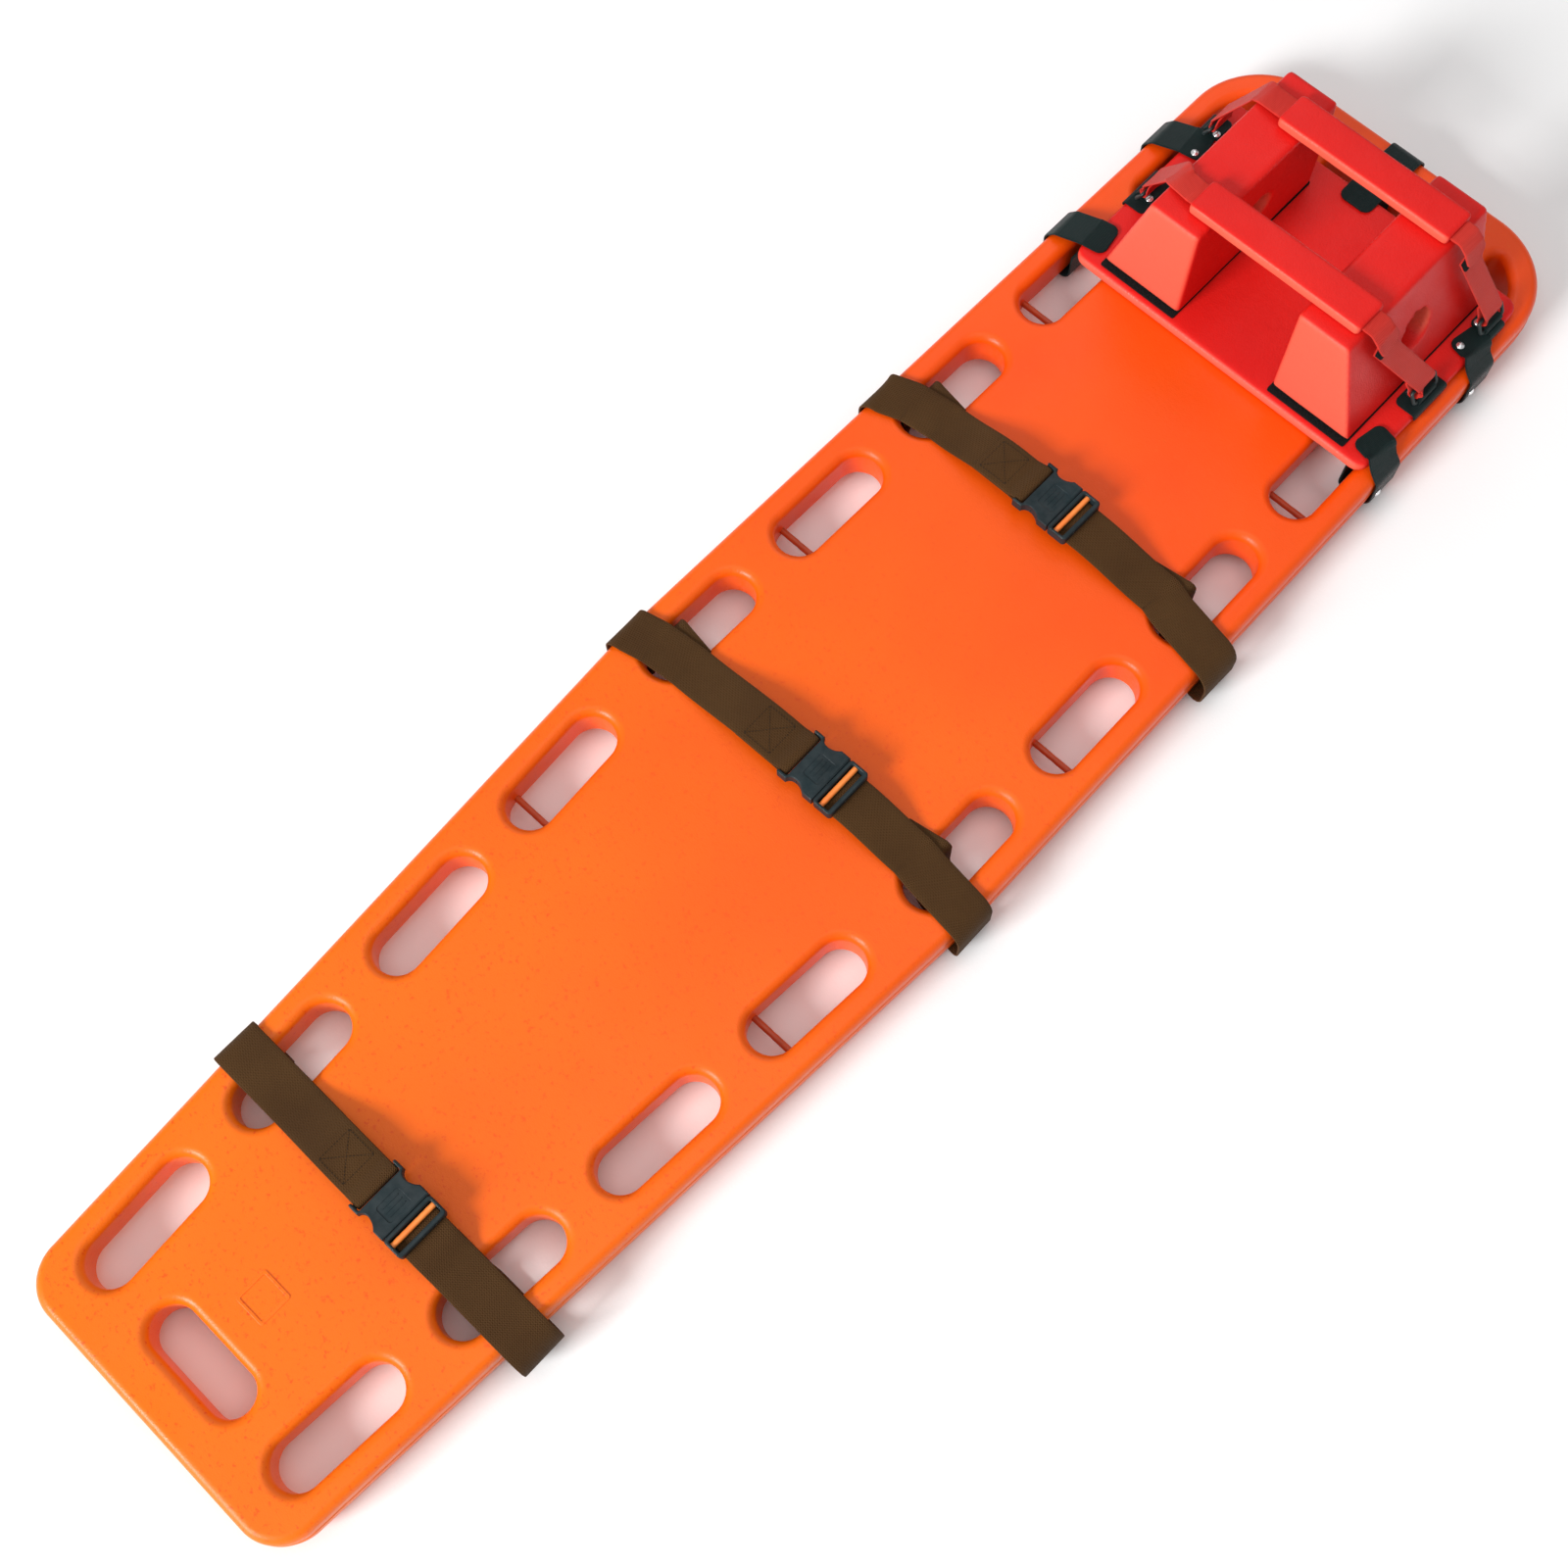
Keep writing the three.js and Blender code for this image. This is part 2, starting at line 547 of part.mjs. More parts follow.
// One of the two arms, on the +y side: a round root at the mouth, bulging outwards to its tip.
function latchArm() {
  const half = ARM_WIDTH / 2;
  const root = MOUTH - half;
  const reach = CAVITY_WIDTH / 2 - ARM_TIP_ROOM;
  const inner = reach - ARM_TIP_WIDTH;
  const tip = MOUTH - PRONG_LENGTH;
  const shape = new THREE.Shape();
  shape.moveTo(root, ARM_OFFSET + half);
  shape.quadraticCurveTo(root - ARM_BEND, ARM_OFFSET + half, tip + ARM_BEND, reach);
  shape.quadraticCurveTo(tip + ARM_TIP_ROUND, reach, tip, reach - ARM_TIP_ROUND);
  shape.lineTo(tip, inner);
  shape.quadraticCurveTo(root - ARM_BEND, inner, root, ARM_OFFSET - half);
  shape.absarc(root, ARM_OFFSET, half, -Math.PI / 2, Math.PI / 2);
  return slab(shape, ARM_THICKNESS, 0, 4).translate(0, 0, -ARM_THICKNESS / 2);
}

// ---------------------------------------------------------------- belts

// The corners of the loop round a rail, as distances from the middle of the board.
function railLoop(outside, inside) {
  const top = WEBBING_Z + WEBBING / 2;
  const bottom = SLAB_BOTTOM - SLIP - WEBBING;
  const height = top - bottom;
  const width = outside - inside;
  const shape = roundedRectangle(width, height, EDGE_RADIUS + WEBBING);
  const hole = roundedRectangle(width - 2 * WEBBING, height - 2 * WEBBING, EDGE_RADIUS, new THREE.Path());
  shape.holes.push(hole);
  return alongY(shape, WEBBING_WIDTH, 4).translate((outside + inside) / 2, 0, (top + bottom) / 2);
}

// The left half: round its rail, up to the buckle, round the female's bar and sewn back.
function leftWebbing(edge, splay, buckle) {
  const outside = edge + SLIP + splay + WEBBING;
  const inside = edge - RAIL - LEG_SLACK - splay - WEBBING;
  const ring = railLoop(-inside, -outside);
  const bar = flat(buckle + FEMALE_BAR_X, TOP + ARCH);
  const level = bar.y;
  const end = bar.x - LOOP_RADIUS;
  const start = flat(-(edge - RAIL - HANDHOLD_WIDTH), WEBBING_Z);
  const crest = flat(end - STITCHED / 2, level);
  const path = [flat(-(edge - EDGE_RADIUS), WEBBING_Z), ...ease(start, crest), flat(end, level)];
  const sewn = path.filter((point) => point.x > end - STITCHED);
  const second = sewn.map((point) => flat(point.x, point.y - SEWN_SHARE * WEBBING));
  const strip = alongY(stroke(path, WEBBING), WEBBING_WIDTH);
  const doubled = alongY(stroke(second, WEBBING), WEBBING_WIDTH);
  const eye = alongY(loop(bar.x, bar.y, LOOP_RADIUS, WEBBING), WEBBING_WIDTH, 12);
  return geometryOf(cut(join(ring, strip, doubled, eye), [barRoom(bar, LOOP_RADIUS, WEBBING_WIDTH, 24)]));
}

// The right half: round its rail with room to slide outwards, up to the male's lock bar.
function rightWebbing(edge, splay, buckle, overhang) {
  const outside = edge + overhang + WEBBING;
  const inside = edge - RAIL - RELEASE - LEG_SLACK - splay - WEBBING;
  const ring = railLoop(outside, inside);
  const level = TOP + ARCH + MALE_WEBBING_Z;
  const start = flat(inside + EDGE_RADIUS, WEBBING_Z);
  const crest = flat(buckle + MALE_END + EDGE_RADIUS, level);
  const end = flat(buckle + MOUTH + MALE_FRONT + GAP, level);
  const path = [flat(edge - EDGE_RADIUS, WEBBING_Z), ...ease(start, crest), end];
  return geometryOf(join(ring, alongY(stroke(path, WEBBING), WEBBING_WIDTH)));
}

// How far a belt's webbing has drifted along y from its top layer: towards the leg in the
// handhold below the board's top, and by the swing at the edge of the board.
function beltDrift(options, edge) {
  const { smoothstep, lerp } = THREE.MathUtils;
  const start = edge - RAIL - LEG_SLACK - 2 * WEBBING;
  return (x, z) => {
    const below = 1 - smoothstep(z, TOP - EDGE_RADIUS / 2, TOP + SLIP + WEBBING);
    const leg = (options.leg - options.top) * below;
    return lerp(leg, options.swing, smoothstep(Math.abs(x), start, edge));
  };
}

function belt(options, index) {
  const group = new THREE.Group();
  const y = handholdY(options.handhold) + options.top + (WEBBING_WIDTH - HANDHOLD_LENGTH) / 2;
  group.position.y = y;
  group.rotation.z = THREE.MathUtils.degToRad(options.turn);
  const name = `belt_${index + 1}`;
  const edge = halfWidth(y);
  const splay = Math.abs(edgeSlope(y)) * (WEBBING_WIDTH / 2 + BELT_TRAVEL);
  const left = leftWebbing(edge, splay, options.buckle);
  const right = rightWebbing(edge, splay, options.buckle, options.overhang);
  const buckle = new THREE.Group();
  buckle.position.set(options.buckle, 0, TOP + ARCH);
  buckle.add(
    mesh(`${name}_buckle_female`, femaleHalf(), materials.buckle),
    mesh(`${name}_buckle_male`, maleHalf(), materials.buckle),
    mesh(`${name}_lock_bar`, lockBar(), materials.lockBar),
    mesh(`${name}_latch_arm_head_side`, latchArm(), materials.buckle),
    mesh(`${name}_latch_arm_foot_side`, latchArm().rotateX(Math.PI), materials.buckle),
  );
  group.add(
    mesh(`${name}_webbing_left`, drift(left, beltDrift(options, edge)), materials.webbing),
    mesh(`${name}_webbing_right`, drift(right, beltDrift(options, edge)), materials.webbing),
    buckle,
  );
  return group;
}

// ---------------------------------------------------------------- head immobilizer

const BASE_EDGE = (side) => HEAD_X + (side * BASE_WIDTH) / 2;
const BLOCK_INNER = (side) => HEAD_X + (side * BLOCK_GAP) / 2;

function basePad() {
  const outline = roundedRectangle(BASE_WIDTH, BASE_LENGTH, BASE_RADIUS);
  const body = slab(outline, BASE_HEIGHT, 4, 4);
  body.translate(HEAD_X, BASE_FRONT_Y + BASE_LENGTH / 2, TOP + GAP);
  return mesh("base_pad", body, materials.vinyl);
}

function hookStrip(side, name) {
  const length = BLOCK_LENGTH + HOOK_STRIP_PROUD;
  const outline = roundedRectangle(BLOCK_FOOT, length, 2);
  const x = BLOCK_INNER(side) + (side * BLOCK_FOOT) / 2;
  const body = slab(outline, HOOK_STRIP, 0, 1);
  body.translate(x, BLOCK_Y - HOOK_STRIP_PROUD + length / 2, BASE_TOP + GAP);
  return mesh(`hook_strip_${name}`, body, materials.black);
}

// A block with an upright inner face, a leaning outer face and a hole at the ear.
function headBlock(side, name) {
  const shape = new THREE.Shape();
  shape.moveTo(0, 0);
  shape.lineTo(BLOCK_FOOT, 0);
  shape.lineTo(BLOCK_TOP, BLOCK_HEIGHT);
  shape.lineTo(0, BLOCK_HEIGHT);
  const body = solid(alongY(shape, BLOCK_LENGTH));
  const hole = new THREE.CylinderGeometry(EAR_HOLE_RADIUS, EAR_HOLE_RADIUS, 4 * BLOCK_FOOT, 20);
  hole.rotateZ(Math.PI / 2).translate(0, 0, EAR_HOLE_HEIGHT);
  const drilled = geometryOf(body.subtract(solid(hole)));
  if (side < 0) drilled.rotateZ(Math.PI);
  drilled.translate(BLOCK_INNER(side), BLOCK_Y + BLOCK_LENGTH / 2, BLOCK_Z);
  return mesh(`head_block_${name}`, drilled, materials.vinyl);
}

// ---------------------------------------------------------------- rings and board straps

const RING_EYE = RING_WIRE * 0.75 + GAP; // inside of a strap's loop round a ring's bar
const RING_LOW_Z = BASE_TOP + GAP + RING_EYE + STRAP;
const RING_LOW = (side) => flat(BASE_EDGE(side) - side * RING_SETBACK, RING_LOW_Z);
const RING_HIGH = (side) => flat(-side * Math.cos(RING_LEAN), Math.sin(RING_LEAN))
  .multiplyScalar(RING_PITCH)
  .add(RING_LOW(side));

// A flat rectangular ring, leaning along its strap.
function strapRing(strap, side, name) {
  const outline = roundedRectangle(RING_PITCH + RING_WIRE, RING_WIDTH + 2 * RING_WIRE, RING_WIRE);
  outline.holes.push(roundedRectangle(RING_PITCH - RING_WIRE, RING_WIDTH, 1.5, new THREE.Path()));
  const ring = slab(outline, RING_WIRE, 0.8, 3, 1).translate(0, 0, -RING_WIRE / 2);
  const middle = RING_LOW(side).add(RING_HIGH(side)).multiplyScalar(0.5);
  ring.rotateY(side < 0 ? -RING_LEAN : RING_LEAN);
  ring.translate(middle.x, strap.ringY, middle.y);
  return mesh(`${strap.name}_ring_${name}`, ring, materials.ring);
}

// A black tab sewn on the base pad and over its side, with a loop round the ring's lower bar.
function ringTab(strap, side, name) {
  const bar = RING_LOW(side);
  const z = BASE_TOP + GAP + STRAP / 2;
  const outer = BASE_EDGE(side) + side * RING_TAB_EDGE;
  const path = [
    flat(bar.x - side * RING_TAB_GRIP, z),
    flat(outer - side * RING_TAB_BEND, z),
    flat(outer, z - RING_TAB_BEND),
    flat(outer, z - RING_TAB_DROP),
  ];
  const strip = alongY(stroke(path, STRAP), RING_TAB_WIDTHS[strap.name]);
  const eye = alongY(loop(bar.x, bar.y, RING_EYE, STRAP), RING_LOOP_WIDTH, 8);
  const body = geometryOf(cut(join(strip, eye), [barRoom(bar, RING_EYE, RING_LOOP_WIDTH)]));
  return mesh(`${strap.name}_ring_tab_${name}`, body.translate(0, strap.ringY, 0), materials.black);
}

// A strap that grips the base pad's top, goes out round a rail and up into its handhold.
// Distances run outwards: grip is the pad's edge, outside and inside are the strap's faces.
function boardStrapPath(grip, outside, inside) {
  const half = BOARD_STRAP / 2;
  const padZ = BASE_TOP + GAP + half;
  const bottom = SLAB_BOTTOM - SLIP - half;
  const corner = BOARD_STRAP_CORNER;
  const crest = Math.max(grip + BOARD_STRAP_STEP, outside - corner);
  return [
    flat(grip - BOARD_STRAP_GRIP, padZ),
    flat(grip, padZ),
    flat(crest, TOP + BOARD_STRAP_CREST),
    flat(outside - BOARD_STRAP, TOP - BOARD_STRAP_SHOULDER),
    ...arc(outside - corner - half, bottom + corner, corner, 0, -Math.PI / 2, 4),
    ...arc(inside + corner, bottom + corner, corner, -Math.PI / 2, -Math.PI, 4),
    flat(inside, TOP - EDGE_RADIUS),
  ];
}

function sideBoardStrap(side, y, name) {
  const edge = halfWidth(y);
  const grip = Math.abs(BASE_EDGE(side));
  const outside = edge + BOARD_STRAP_BULGE;
  const inside = edge - RAIL - LEG_SLACK - BOARD_STRAP;
  let path = boardStrapPath(grip, outside, inside);
  if (side < 0) path = mirrored(path);
  const strap = alongY(stroke(path, BOARD_STRAP), BOARD_STRAP_WIDTH).translate(0, y, 0);
  return mesh(name, strap, materials.black);
}

function headEndStrap() {
  const grip = BASE_FRONT_Y + BASE_LENGTH;
  const inside = BOARD_LENGTH - END_RAIL - LEG_SLACK - BOARD_STRAP;
  const path = boardStrapPath(grip, BOARD_LENGTH + HEAD_END_BULGE, inside);
  const strap = alongY(stroke(path, BOARD_STRAP), BOARD_STRAP_WIDTH);
  return mesh("board_strap_head_end", strap.rotateZ(Math.PI / 2), materials.black);
}

function boardStraps() {
  return [
    sideBoardStrap(-1, FRONT_STRAP_Y, "board_strap_front_left"),
    sideBoardStrap(1, FRONT_STRAP_Y, "board_strap_front_right"),
    sideBoardStrap(-1, REAR_STRAP_Y, "board_strap_rear_left"),
    sideBoardStrap(1, REAR_STRAP_Y, "board_strap_rear_right"),
    headEndStrap(),
  ];
}

// ---------------------------------------------------------------- chin and forehead straps

const PAD_X = HEAD_X + PAD_SHIFT;
const TAB_Z = PAD_Z + PAD_HEIGHT / 2;
const PAD_END = (side) => PAD_X + (side * PAD_LENGTH) / 2;

function strapPad(strap) {
  const outline = roundedRectangle(PAD_LENGTH, PAD_WIDTH, 5);
  const body = slab(outline, PAD_HEIGHT, 3, 3).translate(PAD_X, strap.y, PAD_Z);
  return mesh(`${strap.name}_pad`, body, materials.vinyl);
}

// How far a strap has drifted towards its ring at a place between the pad and the ring.
function towardsRing(strap, side) {
  const start = PAD_END(side) + side * TAB_REACH;
  const end = RING_HIGH(side).x;
  return (x) => {
    const share = THREE.MathUtils.clamp((x - start) / (end - start), 0, 1);
    return strap.y + share * (strap.ringY - strap.y);
  };
}

// Where a strap leaves its loop round the ring's upper bar.
const RING_START = (side) => flat(side * Math.cos(LOOP_START), Math.sin(LOOP_START))
  .multiplyScalar(RING_EYE)
  .add(RING_HIGH(side));

// A red strap along a path, with a loop round the ring's upper bar.
function ringStrap(strap, side, path, name) {
  const bar = RING_HIGH(side);
  const strip = alongY(stroke(path, STRAP), STRAP_WIDTH);
  const eye = alongY(loop(bar.x, bar.y, RING_EYE, STRAP), STRAP_WIDTH, 8);
  const body = geometryOf(cut(join(strip, eye), [barRoom(bar, RING_EYE, STRAP_WIDTH)]));
  return mesh(name, drift(body, towardsRing(strap, side)), materials.strap);
}

// Points that split each stretch of a path in equal parts, so that the whole of it can drift.
function split(path, parts) {
  return path.flatMap((point, i) => {
    if (i === path.length - 1) return [point];
    return Array.from({ length: parts }, (_, part) => point.clone().lerp(path[i + 1], part / parts));
  });
}

// The strap on the left: from the pad, over the edge of the block and down to the ring.
function leftStrap(strap) {
  const corner = flat(BLOCK_INNER(-1) - BLOCK_TOP, BLOCK_TOP_Z);
  const reach = CREST_REACH * STRAP;
  const path = [
    flat(PAD_END(-1) - GAP, TAB_Z),
    flat(corner.x + reach, corner.y + reach),
    flat(corner.x - reach, corner.y),
    RING_START(-1),
  ];
  return ringStrap(strap, -1, split(path, 3), `${strap.name}_strap_left`);
}

// The end tab on the right, which lies over the tail.
function rightTab(strap) {
  const start = flat(PAD_END(1) + GAP, TAB_Z);
  const bend = start.clone().add(flat(TAB_REACH / 2, -GAP));
  const shoulder = bend.clone().add(flat(TAB_BEND, -TAB_BEND + STRAP / 2));
  const path = [start, bend, shoulder, shoulder.clone().add(flat(TAB_BEND - STRAP, -TAB_DROP))];
  const body = alongY(stroke(path, STRAP), STRAP_WIDTH);
  return mesh(`${strap.name}_strap_right`, drift(body, towardsRing(strap, 1)), materials.strap);
}

// The tail on the right: from the ring up to the hook patch under the tab's end.
function rightTail(strap) {
  const turn = PAD_END(1) + GAP + TAB_REACH / 2;
  const top = flat(turn + TAB_BEND - TAIL_DEPTH * STRAP, TAB_Z - TAB_DROP - TAB_BEND + TAIL_OVERLAP);
  return ringStrap(strap, 1, split([RING_START(1), top], 6), `${strap.name}_tail_right`);
}

// ---------------------------------------------------------------- the whole object

const board = new THREE.Group();
board.add(boardShell(), ...pins(), ...BELTS.map(belt));

const immobilizer = new THREE.Group();
immobilizer.add(basePad(), ...boardStraps());
for (const [side, name] of [[-1, "left"], [1, "right"]]) {
  immobilizer.add(hookStrip(side, name), headBlock(side, name));
  for (const strap of HEAD_STRAPS) {
    immobilizer.add(strapRing(strap, side, name), ringTab(strap, side, name));
  }
}
for (const strap of HEAD_STRAPS) {
  immobilizer.add(strapPad(strap), leftStrap(strap), rightTab(strap), rightTail(strap));
}

const object = new THREE.Group();
object.add(board, immobilizer);
const middle = new THREE.Box3().setFromObject(object, true).getCenter(new THREE.Vector3());
object.position.set(-middle.x, -middle.y, 0);

export default object;
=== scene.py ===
"""Looks of a spine board with three belts and a head immobilizer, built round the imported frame.

Pieces are drawn in millimetres on the board: x across it from its middle, y from its foot
end and z up from the surface that it lies on. place() turns that into the frame's metres.
"""

import math

import bmesh
import bpy
from mathutils import Matrix, Vector, noise


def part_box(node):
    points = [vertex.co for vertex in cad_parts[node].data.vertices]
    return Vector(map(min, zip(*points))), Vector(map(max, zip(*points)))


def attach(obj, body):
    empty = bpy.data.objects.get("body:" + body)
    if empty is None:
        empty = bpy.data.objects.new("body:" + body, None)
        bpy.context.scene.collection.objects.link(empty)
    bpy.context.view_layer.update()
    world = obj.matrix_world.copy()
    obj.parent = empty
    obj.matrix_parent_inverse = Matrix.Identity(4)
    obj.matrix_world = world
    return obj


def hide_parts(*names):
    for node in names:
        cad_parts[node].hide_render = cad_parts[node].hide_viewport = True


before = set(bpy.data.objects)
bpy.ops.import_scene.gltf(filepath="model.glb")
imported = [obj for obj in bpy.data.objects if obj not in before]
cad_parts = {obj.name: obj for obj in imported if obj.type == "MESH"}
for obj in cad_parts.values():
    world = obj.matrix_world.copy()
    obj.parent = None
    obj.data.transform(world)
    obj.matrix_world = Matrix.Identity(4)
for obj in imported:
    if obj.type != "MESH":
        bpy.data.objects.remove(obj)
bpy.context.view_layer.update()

MM = 0.001
BOARD_LOW, BOARD_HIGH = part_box("board_shell")
MIDDLE_X = (BOARD_LOW.x + BOARD_HIGH.x) / 2
TO_FRAME = Matrix.Translation((MIDDLE_X, BOARD_LOW.y, 0)) @ Matrix.Scale(MM, 4)
X_AXIS, Y_AXIS, Z_AXIS = Vector((1, 0, 0)), Vector((0, 1, 0)), Vector((0, 0, 1))

# ---------------------------------------------------------------- sizes, as in the frame

# Board
LENGTH, SLAB, RUNNER_HEIGHT = 1830, 48, 12
HALF_FOOT, HALF_SHOULDER, HALF_HEAD = 175.5, 228.5, 220
SHOULDER_Y = 0.458 * LENGTH
FOOT_RADIUS, HEAD_RADIUS, EDGE_RADIUS = 45, 95, 10
RUNNER_WIDTH, RUNNER_OFFSET, RUNNER_INSET, RUNNER_ROUND = 44, 62, 120, 5
RAIL, HANDHOLD_WIDTH, HANDHOLD_LENGTH = 27.5, 50, 140
FIRST_HANDHOLD, LAST_SETBACK, SHOULDER_STEP, HANDHOLDS = 116.5, 370.5, 17, 8
LAST_HANDHOLD = LENGTH - LAST_SETBACK
PITCH = (LAST_HANDHOLD - FIRST_HANDHOLD - SHOULDER_STEP) / (HANDHOLDS - 1)
END_HANDHOLD_LENGTH, END_HANDHOLD_WIDTH, END_RAIL, CORNER_SETBACK = 124, 46, 47.5, 6
PIN_HANDHOLDS, PIN_RADIUS, PIN_SHARE, PIN_HEIGHT, PIN_SEAT = (4, 6, 8), 3.5, 0.18, 16, 6
MARK_SIDE, MARK_LINE, MARK_HEIGHT, MARK_Y = 36, 3, 0.8, 146
TOP = RUNNER_HEIGHT + SLAB
CREASE = math.radians(35)  # edges sharper than this stay sharp in the shading
PARTING_RADIUS = 0.7
TRIM = 0.01  # keeps two round ends of an outline apart

# Belts and buckles
WEBBING_WIDTH, WEBBING, THREAD, HALF_STITCH = 50, 2.2, 0.7, 1.35
HALF_WEBBING_ROOM = 1.3  # from a surface to the middle of webbing that lies by it
LEG_ROUND, RAIL_ROUND, TAIL_ROUND, TOP_ROUND = 11, 11, 7, 30
SEWN_START, SEWN_SETBACK = 4, 14  # from the bar, towards the rail
SLIP, ARCH, LEG_SLACK, BELT_TRAVEL, RELEASE, STITCHED = 1.5, 18, 6, 30, 26, 58
TOP_LAYER_Z = TOP + 3.9
TAIL_Z = TOP + 1.35
UNDER_Z = RUNNER_HEIGHT - 2.8
TAIL_LENGTH = 44
BELTS = [
    {"handhold": 2, "top": 23, "leg": 23, "swing": 0, "turn": 0, "buckle": 36, "overhang": 22},
    {"handhold": 5, "top": 6, "leg": 16, "swing": -12, "turn": 1, "buckle": 30, "overhang": 8},
    {"handhold": 7, "top": 5, "leg": 14, "swing": -20, "turn": 0, "buckle": 3, "overhang": 15},
]
BUCKLE_WIDTH, BUCKLE_HEIGHT, FEMALE_LENGTH, MALE_LENGTH = 58, 13, 46, 24
LUG, BAR_RADIUS, EYE_RADIUS, WINDOW_DEPTH = 3.3, 2.6, 4.1, 8
CAVITY_WIDTH, CAVITY_HEIGHT, PRONG_LENGTH = 46, 8, 24
ARM_WIDTH, ARM_OFFSET, ARM_THICKNESS = 5, 16.5, 6
FEMALE_END = -(FEMALE_LENGTH + MALE_LENGTH) / 2
MALE_END = -FEMALE_END
MOUTH = FEMALE_END + FEMALE_LENGTH
BAY = BUCKLE_WIDTH - 2 * LUG
BAR_SETBACK = 1.4
FEMALE_BAR_X = FEMALE_END + BAR_RADIUS + BAR_SETBACK
FEMALE_BAY_END = FEMALE_BAR_X + 7
BUCKLE_ROUND, MALE_ROUND = 1.55, 1.6
MALE_FRONT, MALE_END_BAR, MALE_FLOOR, LOCK_BAR_RADIUS = 4.7, 5, 1.5, 3
PRONG_WIDTH, PRONG_HEIGHT, ARM_TIP_ROOM, ARM_TIP_WIDTH = 8, 5, 0.6, 7
FLOOR_ROOM = 0.5  # under the webbing in the male half
MALE_WEBBING_Z = -BUCKLE_HEIGHT / 2 + MALE_FLOOR + WEBBING / 2 + FLOOR_ROOM
LOCK_BAR_X = MOUTH + MALE_FRONT + LOCK_BAR_RADIUS + 1.5
LOCK_BAR_Z = MALE_WEBBING_Z + 2 + LOCK_BAR_RADIUS

# Head immobilizer
HEAD_X, BASE_WIDTH, BASE_LENGTH, BASE_SETBACK, BASE_HEIGHT, BASE_RADIUS = 12, 390, 272, 85, 14, 16
BASE_FRONT = LENGTH - BASE_SETBACK - BASE_LENGTH
GAP = 0.3  # between pieces that touch
BASE_Z = TOP + GAP
BASE_TOP = BASE_Z + BASE_HEIGHT
BLOCK_LENGTH, BLOCK_HEIGHT, BLOCK_FOOT, BLOCK_TOP_WIDTH, BLOCK_GAP = 227, 131, 100, 62, 126
BLOCK_SETBACK, HOOK_STRIP = 14, 2
BLOCK_FRONT = BASE_FRONT + BLOCK_SETBACK
BLOCK_Z = BASE_TOP + GAP + HOOK_STRIP + GAP
BLOCK_TOP_Z = BLOCK_Z + BLOCK_HEIGHT
EAR_RADIUS, EAR_HEIGHT = 22, 62
PAD_LENGTH, PAD_WIDTH, PAD_HEIGHT, PAD_SHIFT, TAB_REACH = 214, 42, 13, 14, 24
PAD_X, PAD_Z = HEAD_X + PAD_SHIFT, BLOCK_TOP_Z + GAP
TAB_Z = PAD_Z + PAD_HEIGHT / 2
STRAP_WIDTH, STRAP = 30, 2
HEAD_STRAPS = {"chin": (39, 99), "forehead": (180, 213)}
RING_WIRE, RING_WIDTH, RING_PITCH, RING_EYE, RING_LEAN = 4, 34, 15, 4.4, math.radians(62)
RING_SETBACK = 8
RING_STRAP_RADIUS = RING_EYE - STRAP / 2
RING_LOOP_WIDTH, RING_TAB_GRIP, RING_TAB_EDGE, RING_TAB_DROP = 28, 18, 1.4, 9
RING_TAB_WIDTHS = {"chin": 56, "forehead": 28}
RING_LOW_Z = BASE_TOP + 5.8
BOARD_STRAP_WIDTH, BOARD_STRAP, BOARD_STRAP_GRIP, BULGE, HEAD_END_BULGE = 40, 2.2, 24, 4.5, 4
BOARD_STRAP_SKEW = 9
BOARD_STRAP_ENDS = (9, 3)  # radius of the corners on the base pad and in the handhold
FRONT_STRAP_Y = LAST_HANDHOLD + HANDHOLD_LENGTH / 2 - 9 - BOARD_STRAP_WIDTH / 2
REAR_STRAP_Y = LENGTH - 167
RIVET = [(0, 4.4), (0.6, 4.4), (0.9, 3.8), (1.2, 3), (1.9, 2.4), (2.3, 1.3), (2.4, 0)]

# ---------------------------------------------------------------- small helpers


def half_width(y):
    """Half the board's width at y, its corners left out."""
    if y < SHOULDER_Y:
        return HALF_FOOT + (HALF_SHOULDER - HALF_FOOT) * y / SHOULDER_Y
    return HALF_SHOULDER + (HALF_HEAD - HALF_SHOULDER) * (y - SHOULDER_Y) / (LENGTH - SHOULDER_Y)


def edge_slope(y):
    return half_width(y + 1) - half_width(y)


def handhold_y(number):
    return FIRST_HANDHOLD + (number - 1) * PITCH + (SHOULDER_STEP if number > HANDHOLDS / 2 else 0)


def handhold_x(y):
    return half_width(y) - RAIL - HANDHOLD_WIDTH / 2


def arc(x, y, radius, start, end, steps=14):
    """Points on an arc, its angles in degrees."""
    angles = [math.radians(start + (end - start) * i / steps) for i in range(steps + 1)]
    return [Vector((x + radius * math.cos(a), y + radius * math.sin(a))) for a in angles]


def bezier(points, steps=16):
    """Points on a cubic curve from the first of four points to the last."""
    a, b, c, d = (Vector(p) for p in points)
    ts = [i / steps for i in range(steps + 1)]
    return [a * (1 - t) ** 3 + b * 3 * t * (1 - t) ** 2 + c * 3 * t * t * (1 - t) + d * t**3 for t in ts]


def rounded_rectangle(width, height, radius, steps=14):
    x, y = width / 2 - radius, height / 2 - radius
    corners = [(x, -y, -90), (x, y, 0), (-x, y, 90), (-x, -y, 180)]
    return [p for cx, cy, start in corners for p in arc(cx, cy, radius, start, start + 90, steps)]


def moved(points, x, y, angle=0):
    turn = Matrix.Rotation(angle, 2)
    return [turn @ p + Vector((x, y)) for p in points]


